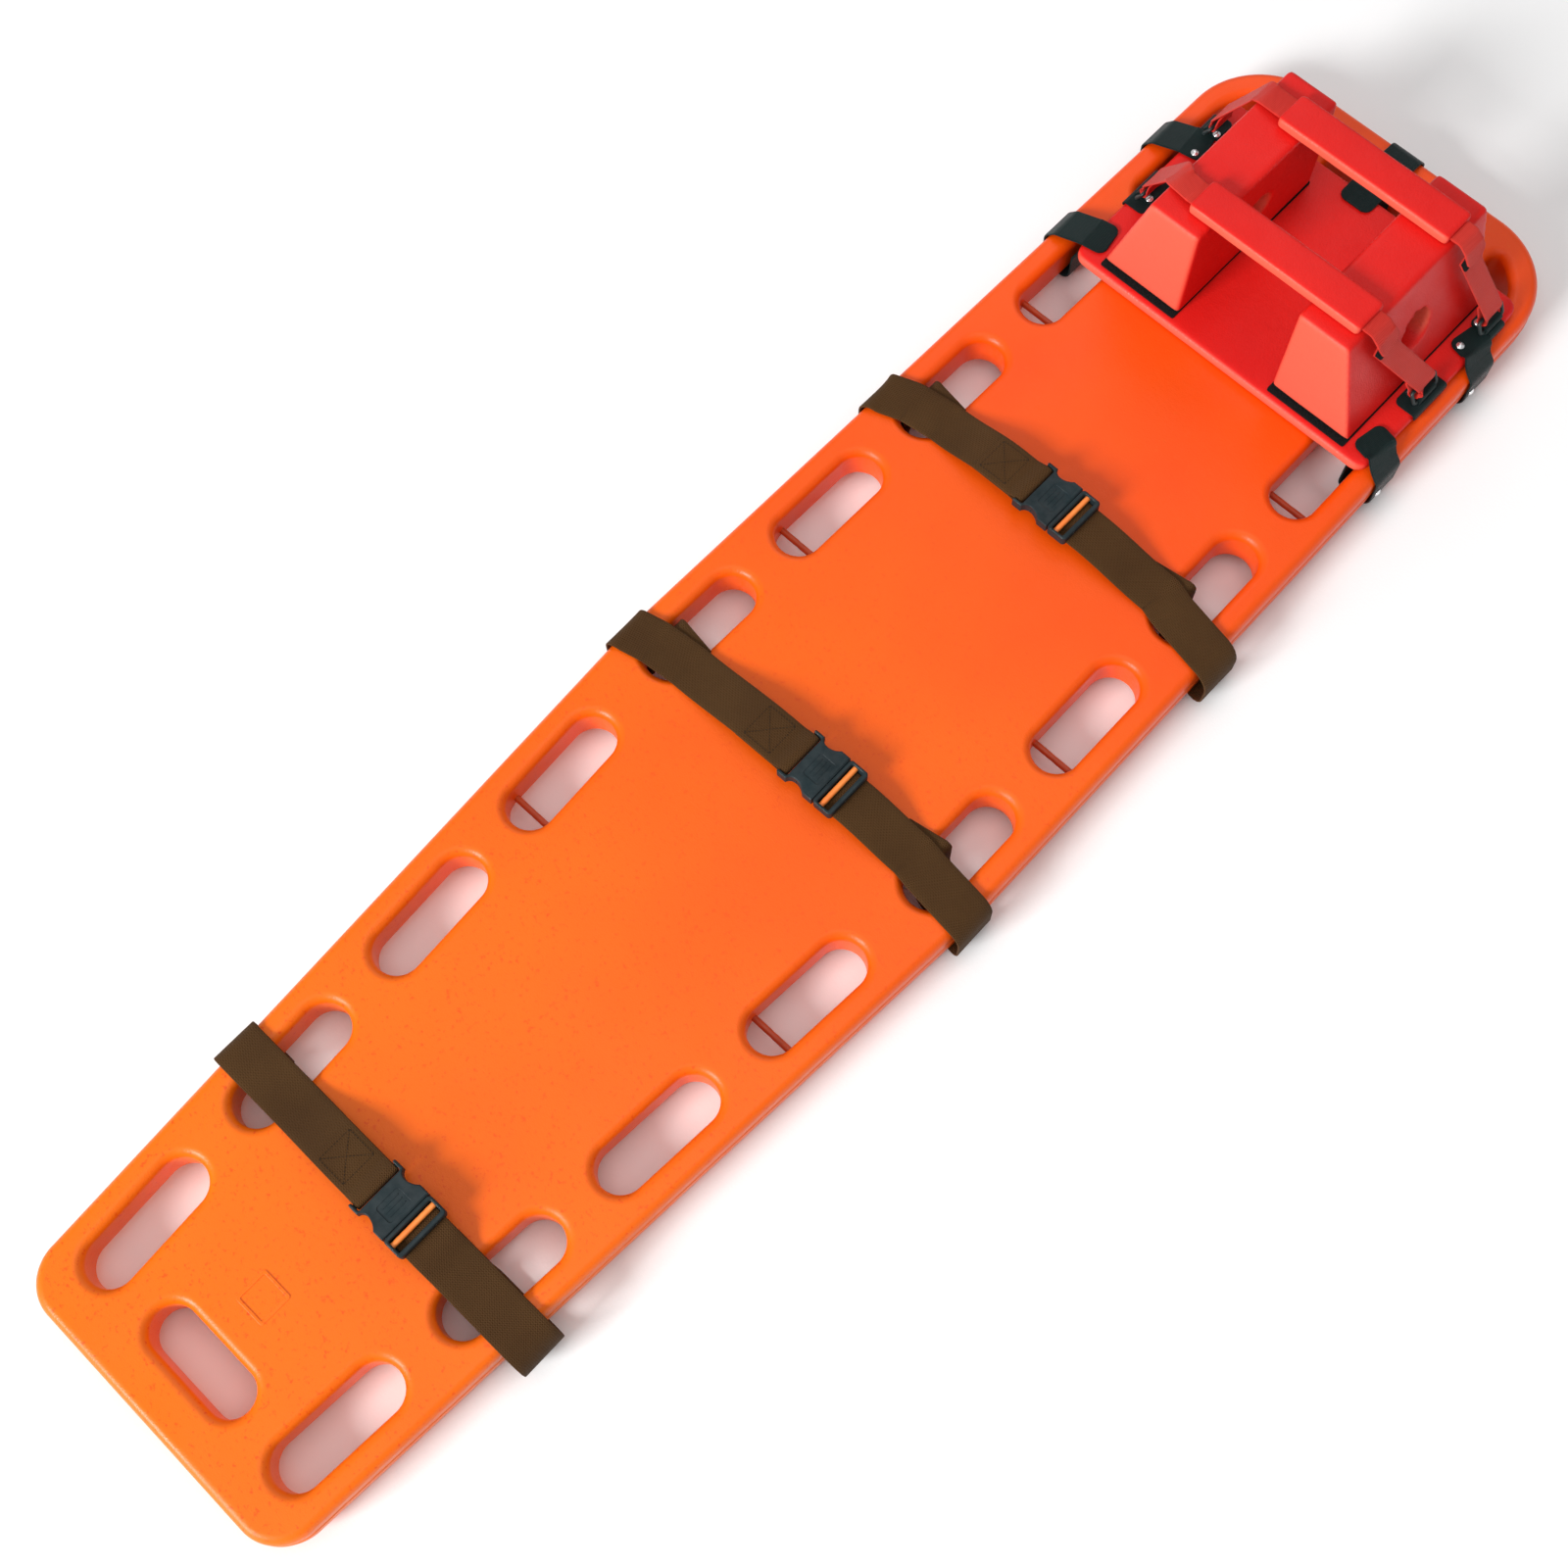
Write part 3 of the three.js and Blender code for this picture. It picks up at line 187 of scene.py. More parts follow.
def bend(before, corner, after, radius, steps=6):
    """Points of an arc of at most that radius that rounds a corner of a route."""
    u, v = before - corner, after - corner
    if radius <= 0 or u.length < 1e-6 or v.length < 1e-6:
        return [corner]
    half = u.angle(v) / 2
    if half > math.radians(89):
        return [corner]
    reach = min(radius / math.tan(half), 0.48 * u.length, 0.48 * v.length)
    radius = reach * math.tan(half)
    u.normalize()
    v.normalize()
    centre = corner + (u + v).normalized() * (radius / math.sin(half))
    first, last = corner + u * reach - centre, corner + v * reach - centre
    return [centre + first.slerp(last, i / steps).normalized() * radius for i in range(steps + 1)]


def route(corners, step=3):
    """An evenly spaced line through corners, each (x, y, z, radius of its bend)."""
    points = [Vector(c[:3]) for c in corners]
    line = [points[0]]
    for i in range(1, len(points) - 1):
        line += bend(points[i - 1], points[i], points[i + 1], corners[i][3])
    line.append(points[-1])
    spaced = [line[0]]
    for a, b in zip(line, line[1:]):
        count = max(1, round((b - a).length / step))
        spaced += [a.lerp(b, i / count) for i in range(1, count + 1) if (b - a).length > 1e-4]
    return spaced


def ease(start, end, steps=12):
    """Corners of a smooth slope between two level stretches, for route()."""
    made = []
    for i in range(steps + 1):
        t = i / steps
        rise = (1 - math.cos(math.pi * t)) / 2
        x, y = (start[k] + (end[k] - start[k]) * t for k in (0, 1))
        made.append((x, y, start[2] + (end[2] - start[2]) * rise, 0))
    return made


def evaluated(obj):
    """The mesh of an object with its modifiers, the object itself being removed."""
    bpy.context.view_layer.update()
    mesh = bpy.data.meshes.new_from_object(obj.evaluated_get(bpy.context.evaluated_depsgraph_get()))
    bpy.data.objects.remove(obj)
    return mesh


def finished(work, name):
    """The mesh that a bmesh holds, the bmesh itself being freed."""
    mesh = bpy.data.meshes.new(name)
    work.to_mesh(mesh)
    work.free()
    return mesh


def added(data, name="scratch"):
    """A new object in the scene."""
    obj = bpy.data.objects.new(name, data)
    bpy.context.scene.collection.objects.link(obj)
    return obj


def welded(mesh, distance=0.002):
    work = bmesh.new()
    work.from_mesh(mesh)
    bmesh.ops.remove_doubles(work, verts=work.verts, dist=distance)
    bmesh.ops.recalc_face_normals(work, faces=work.faces)
    work.to_mesh(mesh)
    work.free()
    return mesh


def add_line(curve, points):
    """A closed line in a curve, through points in two or three dimensions."""
    spline = curve.splines.new("POLY")
    spline.points.add(len(points) - 1)
    for target, point in zip(spline.points, points):
        target.co = (*Vector(point).to_3d(), 1)
    spline.use_cyclic_u = True


def prism(outline, bottom, top, radius, holes=(), rounds=5):
    """A plate with rounded edges between two heights."""
    curve = bpy.data.curves.new("outline", "CURVE")
    curve.dimensions = "2D"
    curve.fill_mode = "BOTH"
    curve.extrude = (top - bottom) / 2 - radius
    curve.bevel_depth = radius
    curve.bevel_resolution = rounds
    curve.offset = -radius
    for points in [outline, *holes]:
        add_line(curve, points)
    mesh = welded(evaluated(added(curve)))
    mesh.transform(Matrix.Translation((0, 0, (top + bottom) / 2)))
    return mesh


def tube(points, radius):
    """A round bar along a closed line."""
    curve = bpy.data.curves.new("line", "CURVE")
    curve.dimensions = "3D"
    curve.bevel_depth = radius
    curve.bevel_resolution = 4
    add_line(curve, points)
    return welded(evaluated(added(curve)))


def combined(mesh, others, operation):
    """mesh with others cut away or joined to it."""
    base = added(mesh)
    tools = [added(other) for other in others]
    for tool in tools:
        modifier = base.modifiers.new("combine", "BOOLEAN")
        modifier.operation = operation
        modifier.solver = "EXACT"
        modifier.object = tool
    result = evaluated(base)
    for tool in tools:
        bpy.data.objects.remove(tool)
    return welded(result)


def together(meshes):
    """Several meshes as one, each still a closed body of its own."""
    work = bmesh.new()
    for mesh in meshes:
        work.from_mesh(mesh)
    return finished(work, "together")


def block_of(size, centre):
    """A box to cut with."""
    work = bmesh.new()
    bmesh.ops.create_cube(work, size=1, matrix=Matrix.Translation(centre) @ Matrix.Diagonal((*size, 1)))
    return finished(work, "box")


def lathe(profile, start, direction, sides=28):
    """A turned piece: profile gives (distance along its axis, radius), from end to end."""
    side = direction.orthogonal().normalized()
    other = direction.cross(side)
    work = bmesh.new()
    rings = []
    for along, radius in profile:
        centre = start + direction * along
        turns = [2 * math.pi * i / sides for i in range(sides)]
        rim = [centre + (side * math.cos(a) + other * math.sin(a)) * max(radius, 0.01) for a in turns]
        rings.append([work.verts.new(p) for p in rim])
    for low, high in zip(rings, rings[1:]):
        for i in range(sides):
            work.faces.new((low[i], low[(i + 1) % sides], high[(i + 1) % sides], high[i]))
    work.faces.new(rings[0])
    work.faces.new(rings[-1])
    bmesh.ops.recalc_face_normals(work, faces=work.faces)
    return finished(work, "turned")


def strap_section(half, thickness, across=10, edge_steps=4):
    """Points (sideways, outwards) round a strap's section, its edges half round."""
    e = thickness / 2
    flat_half = half - e
    top = [(-flat_half + 2 * flat_half * i / across, e) for i in range(across + 1)]
    right = [(flat_half + e * math.sin(a), e * math.cos(a)) for a in half_turn(edge_steps)]
    bottom = [(-x, -z) for x, z in top]
    left = [(-x, -z) for x, z in right]
    return top + right + bottom + left


def half_turn(steps):
    return [math.pi * i / steps for i in range(1, steps)]


def ribbon(line, width, thickness, sideways=Y_AXIS, rounded=(0, 0)):
    """A strip of webbing along a line, with a UV map in metres across and along it.

    rounded gives the radius of the corners at its two ends.
    """
    line = with_end_points(line, rounded)
    lengths = [0.0]
    for a, b in zip(line, line[1:]):
        lengths.append(lengths[-1] + (b - a).length)
    work = bmesh.new()
    uv_layer = work.loops.layers.uv.new("UVMap")
    rings, coordinates = [], {}
    for i, point in enumerate(line):
        along = (line[min(i + 1, len(line) - 1)] - line[max(i - 1, 0)]).normalized()
        across = (sideways - along * sideways.dot(along)).normalized()
        outwards = along.cross(across)
        half = width / 2 - corner_inset(lengths[i], rounded[0])
        half -= corner_inset(lengths[-1] - lengths[i], rounded[1])
        ring = []
        for s, n in strap_section(half, thickness):
            vertex = work.verts.new(point + across * s + outwards * n)
            coordinates[vertex] = (s * MM, lengths[i] * MM)
            ring.append(vertex)
        rings.append(ring)
    for low, high in zip(rings, rings[1:]):
        count = len(low)
        for j in range(count):
            work.faces.new((low[j], low[(j + 1) % count], high[(j + 1) % count], high[j]))
    work.faces.new(rings[0])
    work.faces.new(rings[-1])
    bmesh.ops.recalc_face_normals(work, faces=work.faces)
    for face in work.faces:
        for loop in face.loops:
            loop[uv_layer].uv = coordinates[loop.vert]
    return finished(work, "ribbon")


def corner_inset(distance, radius):
    """How far a rounded corner draws a strap's edge in, at a distance from its end."""
    if radius <= 0 or distance >= radius:
        return 0
    return radius - math.sqrt(max(radius**2 - (radius - distance) ** 2, 0.04 * radius**2))


def with_end_points(line, rounded):
    """The line with more points where its ends are rounded."""
    made = list(line)
    if rounded[1]:
        made = [*made[:-1], *(made[-2].lerp(made[-1], t) for t in (0.4, 0.7, 0.88, 1))]
    if rounded[0]:
        made = [*(made[0].lerp(made[1], t) for t in (0, 0.12, 0.3, 0.6)), *made[1:]]
    return made


def softened(mesh, voxel, rounds):
    """A foam piece: the mesh with even faces and softly rounded edges."""
    obj = added(mesh)
    remesh = obj.modifiers.new("even", "REMESH")
    remesh.mode = "VOXEL"
    remesh.voxel_size = voxel
    smooth = obj.modifiers.new("soft", "SMOOTH")
    smooth.factor = 0.5
    smooth.iterations = rounds
    return evaluated(obj)


def dimpled(mesh, height, spacing):
    """Small uneven swells, as a foam piece in a vinyl skin has."""
    mesh.update()
    normals = [v.normal.copy() for v in mesh.vertices]
    for vertex, normal in zip(mesh.vertices, normals):
        vertex.co += normal * height * noise.noise(vertex.co / spacing)
    return mesh


def place(name, mesh, material, body, nodes=(), matrix=Matrix.Identity(4), weighted=True):
    """Makes a piece from a mesh in board millimetres, riding on a body and standing for nodes.

    weighted evens out its shading with normals weighted by face area.
    """
    mesh.transform(TO_FRAME @ matrix)
    mesh.materials.clear()
    mesh.materials.append(material)
    mesh.polygons.foreach_set("use_smooth", [True] * len(mesh.polygons))
    mesh.update()
    obj = added(mesh, name)
    if weighted:
        normals = obj.modifiers.new("even shading", "WEIGHTED_NORMAL")
        normals.weight = 100
        normals.keep_sharp = True
    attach(obj, body)
    if nodes:
        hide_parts(*nodes)
    return obj


# ---------------------------------------------------------------- materials


class Shader:
    """A material and short ways to add nodes to it."""

    def __init__(self, name, roughness, **constants):
        self.material = bpy.data.materials.new(name)
        self.material.use_nodes = True
        self.tree = self.material.node_tree
        self.surface = self.tree.nodes["Principled BSDF"]
        self.surface.inputs["Roughness"].default_value = roughness
        for socket, value in constants.items():
            self.surface.inputs[socket.replace("_", " ")].default_value = value
        self.coordinates = self.tree.nodes.new("ShaderNodeTexCoord")

    def link(self, source, target):
        self.tree.links.new(source, target)

    def axis(self, space, name):
        """One axis of a kind of coordinate."""
        node = self.tree.nodes.new("ShaderNodeSeparateXYZ")
        self.link(self.coordinates.outputs[space], node.inputs["Vector"])
        return node.outputs[name]

    def noise(self, scale, detail=3):
        node = self.tree.nodes.new("ShaderNodeTexNoise")
        node.inputs["Scale"].default_value = scale
        node.inputs["Detail"].default_value = detail
        self.link(self.coordinates.outputs["Object"], node.inputs["Vector"])
        return node.outputs["Fac"]

    def cells(self, scale):
        node = self.tree.nodes.new("ShaderNodeTexVoronoi")
        node.inputs["Scale"].default_value = scale
        self.link(self.coordinates.outputs["Object"], node.inputs["Vector"])
        return node.outputs["Distance"]

    def ramp(self, value, low, high):
        """value spread from 0 at low to 1 at high."""
        node = self.tree.nodes.new("ShaderNodeMapRange")
        node.inputs["From Min"].default_value = low
        node.inputs["From Max"].default_value = high
        self.link(value, node.inputs["Value"])
        return node.outputs["Result"]

    def math(self, operation, *values):
        node = self.tree.nodes.new("ShaderNodeMath")
        node.operation = operation
        for socket, value in zip(node.inputs, values):
            if isinstance(value, (int, float)):
                socket.default_value = value
            else:
                self.link(value, socket)
        return node.outputs["Value"]

    def mix(self, share, first, second):
        """A colour between two colours or colour outputs."""
        node = self.tree.nodes.new("ShaderNodeMix")
        node.data_type = "RGBA"
        self.link(share, node.inputs["Factor"])
        for socket, value in ((node.inputs["A"], first), (node.inputs["B"], second)):
            self.set_colour(node, socket, value)
        return node.outputs["Result"]

    def set_colour(self, node, socket, value):
        socket = next(s for s in node.inputs if s.name == socket.name and s.type == "RGBA")
        if isinstance(value, tuple):
            socket.default_value = (*value, 1)
        else:
            self.link(value, socket)

    def colour(self, value):
        self.link(value, self.surface.inputs["Base Color"])

    def roughness(self, value):
        self.link(value, self.surface.inputs["Roughness"])

    def bump(self, layers):
        """Height layers, each (output, height in metres)."""
        previous = None
        for value, distance in layers:
            node = self.tree.nodes.new("ShaderNodeBump")
            node.inputs["Distance"].default_value = distance
            self.link(value, node.inputs["Height"])
            if previous:
                self.link(previous, node.inputs["Normal"])
            previous = node.outputs["Normal"]
        self.link(previous, self.surface.inputs["Normal"])

    def edge_wear_and_highlight(self, low, high):
        """1 on sharp outer edges, with a patchy limit."""
        geometry = self.tree.nodes.new("ShaderNodeNewGeometry")
        patchy = self.math("MULTIPLY", self.noise(60, 5), 0.04)
        return self.ramp(self.math("SUBTRACT", geometry.outputs["Pointiness"], patchy), low, high)


def shell_material():
    """Moulded polyethylene: faint mottling, painted light falloff that leaves it paler towards the foot end,
    fine texture, scuffs and paler worn edges.
    """
    s = Shader("moulded polyethylene", 0.34, Specular_IOR_Level=0.32)
    # Painted light: paler towards the foot end and redder towards the head, the falloff of a lamp at the
    # foot painted into the colour.
    along = s.ramp(s.axis("Object", "Y"), -LENGTH / 2 * MM, LENGTH / 2 * MM)
    uneven = s.math("ADD", along, s.math("MULTIPLY", s.ramp(s.noise(3.2, 4), 0.35, 0.65), 0.25))
    falloff_and_mottling = s.mix(uneven, (0.96, 0.175, 0.002), (0.87, 0.070, 0.0005))
    specks = s.mix(s.ramp(s.noise(240, 2), 0.6, 0.75), falloff_and_mottling, (0.86, 0.085, 0.002))
    s.colour(s.mix(s.edge_wear_and_highlight(0.5, 0.58), specks, (0.98, 0.27, 0.07)))
    s.roughness(s.ramp(s.noise(11, 6), -0.45, 2.1))
    scuffs = s.math("POWER", s.noise(26, 8), 4)
    s.bump([(s.noise(700, 2), 0.0002), (s.cells(300), 0.00008), (scuffs, 0.0002)])
    return s.material


def webbing_material(name, dark, light, pitch=0.0021, roughness=0.82):
    """Plain woven tape: raised threads in both directions, with uneven dye."""
    s = Shader(name, roughness, Specular_IOR_Level=0.2, Sheen_Weight=0.02, Sheen_Roughness=0.4)
    x, y = s.axis("UV", "X"), s.axis("UV", "Y")
    across = s.math("SINE", s.math("MULTIPLY", x, 2 * math.pi / pitch))
    along = s.math("SINE", s.math("MULTIPLY", y, 2 * math.pi / pitch))
    weave = s.math("MULTIPLY", across, along)
    shade = s.math("MULTIPLY", s.ramp(weave, 1, -1), 0.5)
    ribs = s.math("ABSOLUTE", s.math("SINE", s.math("MULTIPLY", x, math.pi / pitch)))
    uneven = s.mix(s.ramp(s.noise(16, 5), 0.3, 0.7), dark, light)
    s.colour(s.mix(shade, uneven, tuple(0.6 * c for c in dark)))
    s.bump([(weave, 0.00035), (ribs, 0.0002), (s.noise(1500, 2), 0.0001)])
    return s.material


def vinyl_material():
    """Vinyl skin on foam: fine grain, soft gloss, painted light that makes faces turned to the foot end
    paler salmon, and paler salmon edges that are part wear and part painted highlight.
    """
    s = Shader("vinyl skin", 0.46, Specular_IOR_Level=0.2)
    base = s.mix(s.ramp(s.noise(7, 4), 0.35, 0.65), (0.68, 0.010, 0.008), (0.74, 0.014, 0.010))
    # Painted light: faces turned to the foot end, where the key lamp shines, get a paler salmon colour.
    painted_front_light = s.math("MULTIPLY", s.ramp(s.axis("Normal", "Y"), -0.35, -0.95), 0.85)
    front = s.mix(painted_front_light, base, (0.80, 0.14, 0.085))
    # Sharp outer edges get a paler salmon: partly wear, partly a painted highlight where light catches them.
    s.colour(s.mix(s.edge_wear_and_highlight(0.53, 0.64), front, (0.86, 0.10, 0.06)))
    s.roughness(s.ramp(s.noise(22, 5), -0.5, 1.9))
    s.bump([(s.cells(520), 0.00018), (s.noise(140, 4), 0.0003)])
    return s.material


def plastic_material(name, low, high, roughness, coat=0.3):
    """Moulded plastic with a slight flow pattern and a fine texture."""
    s = Shader(name, roughness, Coat_Weight=coat, Coat_Roughness=0.15)
    base = s.mix(s.ramp(s.noise(40, 4), 0.35, 0.65), low, high)
    s.colour(s.mix(s.edge_wear_and_highlight(0.55, 0.7), base, tuple(min(1.0, 1.6 * c + 0.02) for c in high)))
    s.roughness(s.ramp(s.noise(90, 4), -roughness * 1.5, roughness * 4.5))
    s.bump([(s.noise(900, 2), 0.0001), (s.noise(60, 3), 0.0002)])
    return s.material


def hook_material():
    """Hook tape: a dense field of short dark loops."""
    s = Shader("hook tape", 0.95, Specular_IOR_Level=0.15)
    s.colour(s.mix(s.ramp(s.cells(900), 0.1, 0.6), (0.002, 0.003, 0.003), (0.009, 0.012, 0.012)))
    s.bump([(s.cells(900), 0.0008), (s.noise(400, 3), 0.0004)])
    return s.material


def rivet_material():
    s = Shader("plated rivet", 0.22, Metallic=0.85)
    s.colour(s.mix(s.noise(150, 4), (0.80, 0.82, 0.84), (0.95, 0.96, 0.97)))
    s.bump([(s.noise(500, 3), 0.0001)])
    return s.material


def floor_material():
    s = Shader("pale floor", 0.9)
    s.colour(s.mix(s.noise(2, 3), (0.94, 0.94, 0.94), (0.96, 0.96, 0.96)))
    s.bump([(s.noise(300, 2), 0.0001)])
    return s.material


SHELL = shell_material()
BROWN = webbing_material("brown webbing", (0.074, 0.031, 0.007), (0.098, 0.044, 0.011))
BLACK = webbing_material("black coated strap", (0.0005, 0.010, 0.0105), (0.001, 0.018, 0.017), 0.0016, 0.36)
RED_STRAP = webbing_material("red coated strap", (0.74, 0.030, 0.020), (0.84, 0.048, 0.030), 0.0016, 0.5)
THREAD_MATERIAL = webbing_material("sewing thread", (0.020, 0.011, 0.005), (0.035, 0.02, 0.01), 0.0008)
VINYL = vinyl_material()
BUCKLE = plastic_material("buckle plastic", (0.001, 0.009, 0.012), (0.002, 0.014, 0.018), 0.16, 0.12)
LOCK_BAR = plastic_material("lock bar plastic", (0.95, 0.22, 0.03), (1.0, 0.29, 0.05), 0.25)
PIN = plastic_material("pin plastic", (0.42, 0.05, 0.01), (0.55, 0.08, 0.015), 0.35, 0)
RING = plastic_material("ring plastic", (0.004, 0.010, 0.010), (0.008, 0.018, 0.018), 0.22)
HOOK = hook_material()
RIVET_MATERIAL = rivet_material()

# ---------------------------------------------------------------- board


def board_outline():
    foot_x = half_width(FOOT_RADIUS) - FOOT_RADIUS
    head_y = LENGTH - HEAD_RADIUS
    head_x = half_width(head_y) - HEAD_RADIUS
    right = arc(foot_x, FOOT_RADIUS, FOOT_RADIUS, -90, 0, 24)
    right += [Vector((HALF_SHOULDER, SHOULDER_Y))]
    right += arc(head_x, head_y, HEAD_RADIUS, 0, 90, 36)
    return right + [Vector((-p.x, p.y)) for p in reversed(right)]


def corner_handhold(side):
    """The opening inside a head corner, as round outside as the board's corner."""
    start = LAST_HANDHOLD + PITCH - HANDHOLD_LENGTH / 2
    outer = half_width(LENGTH - HEAD_RADIUS) - RAIL
    inner = outer - HANDHOLD_WIDTH
    small, large = HANDHOLD_WIDTH / 2, HEAD_RADIUS - RAIL
    top = LENGTH - HEAD_RADIUS - CORNER_SETBACK
    lean = large - math.sqrt(large**2 - (large - HANDHOLD_WIDTH + EDGE_RADIUS) ** 2)
    points = arc(inner + small, start + small, small, 180, 360, 24)
    points += arc(outer - large, top, large, 0, math.degrees(math.asin(1 - lean / large)), 20)
    points += arc(inner + EDGE_RADIUS, top + large - lean - EDGE_RADIUS, EDGE_RADIUS, 90, 180, 10)
    return [Vector((side * p.x, p.y)) for p in points]


def handholds():
    slot = rounded_rectangle(HANDHOLD_WIDTH, HANDHOLD_LENGTH, HANDHOLD_WIDTH / 2 - TRIM)
    end_slot = rounded_rectangle(END_HANDHOLD_LENGTH, END_HANDHOLD_WIDTH, END_HANDHOLD_WIDTH / 2 - TRIM)
    holes = [corner_handhold(-1), corner_handhold(1)]
    for y in (END_RAIL + END_HANDHOLD_WIDTH / 2, LENGTH - END_RAIL - END_HANDHOLD_WIDTH / 2):
        holes.append(moved(end_slot, 0, y))
    for number in range(1, HANDHOLDS + 1):
        y = handhold_y(number)
        for side in (-1, 1):
            holes.append(moved(slot, side * handhold_x(y), y, -side * math.atan(edge_slope(y))))
    return holes


def runner(side):
    outline = rounded_rectangle(RUNNER_WIDTH, LENGTH - 2 * RUNNER_INSET, RUNNER_WIDTH / 2 - TRIM)
    outline = moved(outline, side * RUNNER_OFFSET, LENGTH / 2)
    return prism(outline, 0, RUNNER_HEIGHT + EDGE_RADIUS, RUNNER_ROUND)


def blank_mark():
    frame_outline = moved(rounded_rectangle(MARK_SIDE, MARK_SIDE, MARK_LINE), 0, MARK_Y)
    inside = MARK_SIDE - 2 * MARK_LINE
    hole = moved(rounded_rectangle(inside, inside, MARK_LINE / 2), 0, MARK_Y)
    return prism(frame_outline, TOP - MARK_LINE, TOP + MARK_HEIGHT, MARK_HEIGHT / 2, [hole], 2)


def make_board():
    plate = prism(board_outline(), RUNNER_HEIGHT, TOP, EDGE_RADIUS, handholds(), 8)
    shell = combined(plate, [runner(-1), runner(1), blank_mark()], "UNION")
    shell.set_sharp_from_angle(angle=CREASE)
    place("shell", shell, SHELL, "board", ["board_shell"])
    seam = [(p.x, p.y, RUNNER_HEIGHT + SLAB / 2) for p in board_outline()]
    place("parting_line", tube(seam, PARTING_RADIUS), SHELL, "board")
    for number in PIN_HANDHOLDS:
        y = handhold_y(number) + (PIN_SHARE - 0.5) * HANDHOLD_LENGTH
        for side, word in ((-1, "left"), (1, "right")):
            half = HANDHOLD_WIDTH / 2 + PIN_SEAT
            profile = [(0, PIN_RADIUS * 0.8), (0.7, PIN_RADIUS)]
            profile += [(half - 4, PIN_RADIUS), (half, PIN_RADIUS * 0.94)]
            profile += [(2 * half - along, radius) for along, radius in reversed(profile[:3])]
            start = Vector((side * handhold_x(y) - half, y, RUNNER_HEIGHT + PIN_HEIGHT))
            rod = lathe(profile, start, X_AXIS)
            place(f"pin_{number}_{word}", rod, PIN, "board", [f"strap_pin_{number}_{word}"])


# ---------------------------------------------------------------- buckles


def female_outline():
    """The female half from above, open at its left end where the webbing goes in."""
    half, bay = BUCKLE_WIDTH / 2, BAY / 2
    waist = FEMALE_BAY_END + 1
    end = waist + 22
    d = WINDOW_DEPTH
    lug_tip = arc(FEMALE_END + 1.6, -half + 1.6, 1.6, 180, 270, 6)
    window = bezier([(waist, -half), (waist + 2, -half + d), (end - 8, -half + d), (end, -half)])
    mouth = arc(MOUTH - 1, -half + 1, 1, 270, 360, 5)
    inner_lug = arc(FEMALE_BAY_END - 2, -bay + 2, 2, 0, -90, 6)
    inner_tip = arc(FEMALE_END + 1.2, -bay - 0.9, 0.9, 90, 180, 5)
    lower = lug_tip + window + mouth
    notch = inner_lug + inner_tip
    mirror = [Vector((p.x, -p.y)) for p in reversed(lower)]
    return lower + mirror + [Vector((p.x, -p.y)) for p in reversed(notch)] + notch


def female_mesh():
    h = BUCKLE_HEIGHT / 2
    body = prism(female_outline(), -h, h, BUCKLE_ROUND, rounds=4)
    depth = MOUTH - FEMALE_BAY_END - 3
    cavity = block_of((depth + 2, CAVITY_WIDTH, CAVITY_HEIGHT), (MOUTH - depth / 2 + 1, 0, 0))
    middle = (FEMALE_BAY_END + MOUTH) / 2
    recess = prism(moved(rounded_rectangle(20, 28, 3, 8), middle + 2, 0), h - 0.7, h + 4, 0.5, rounds=2)
    body = combined(body, [cavity, recess], "DIFFERENCE")
    ridges = [
        prism(moved(rounded_rectangle(1.4, 20, 0.69, 4), middle + x, 0), h - 1, h - 0.1, 0.4, rounds=2)
        for x in (-3, 2, 7)
    ]
    bar = lathe([(0, BAR_RADIUS), (BAY + 2, BAR_RADIUS)], Vector((FEMALE_BAR_X, -BAY / 2 - 1, 0)), Y_AXIS)
    return together([body, bar, *ridges])


def male_mesh():
    h = BUCKLE_HEIGHT / 2
    start = MOUTH + GAP
    middle = (start + MALE_END) / 2
    outline = moved(rounded_rectangle(MALE_END - start, BUCKLE_WIDTH, 4, 8), middle, 0)
    bay_start, bay_end = MOUTH + MALE_FRONT, MALE_END - MALE_END_BAR
    hole = rounded_rectangle(bay_end - bay_start, BAY, 1.5, 6)
    ring = prism(outline, -h, h, MALE_ROUND, [moved(hole, (bay_start + bay_end) / 2, 0)], 4)
    passage = block_of((MALE_LENGTH, BAY, 3.4), (bay_end + MALE_LENGTH / 2 - 1, 0, MALE_WEBBING_Z))
    ring = combined(ring, [passage], "DIFFERENCE")
    floor_shape = rounded_rectangle(bay_end - bay_start + 4, BAY + 2, 1, 4)
    floor_outline = moved(floor_shape, (bay_start + bay_end) / 2, 0)
    floor = prism(floor_outline, -h + 0.1, -h + MALE_FLOOR, 0.3, rounds=2)
    prong_shape = rounded_rectangle(PRONG_LENGTH + 2, PRONG_WIDTH, 2.5, 6)
    prong_outline = moved(prong_shape, MOUTH + 1 - PRONG_LENGTH / 2, 0)
    prong = prism(prong_outline, -PRONG_HEIGHT / 2, PRONG_HEIGHT / 2, 0.8, rounds=3)
    return together([ring, floor, prong])


def lock_bar_mesh():
    """A bar with flattened grip ribs and rounded ends."""
    length = BAY + LUG - 1
    profile = [(0, LOCK_BAR_RADIUS * 0.7), (0.8, LOCK_BAR_RADIUS)]
    count = 14
    for i in range(1, count):
        along = 0.8 + (length - 1.6) * i / count
        profile.append((along, LOCK_BAR_RADIUS * (0.96 if i % 2 else 1)))
    profile += [(length - 0.8, LOCK_BAR_RADIUS), (length, LOCK_BAR_RADIUS * 0.7)]
    return lathe(profile, Vector((LOCK_BAR_X, -length / 2, LOCK_BAR_Z)), Y_AXIS)


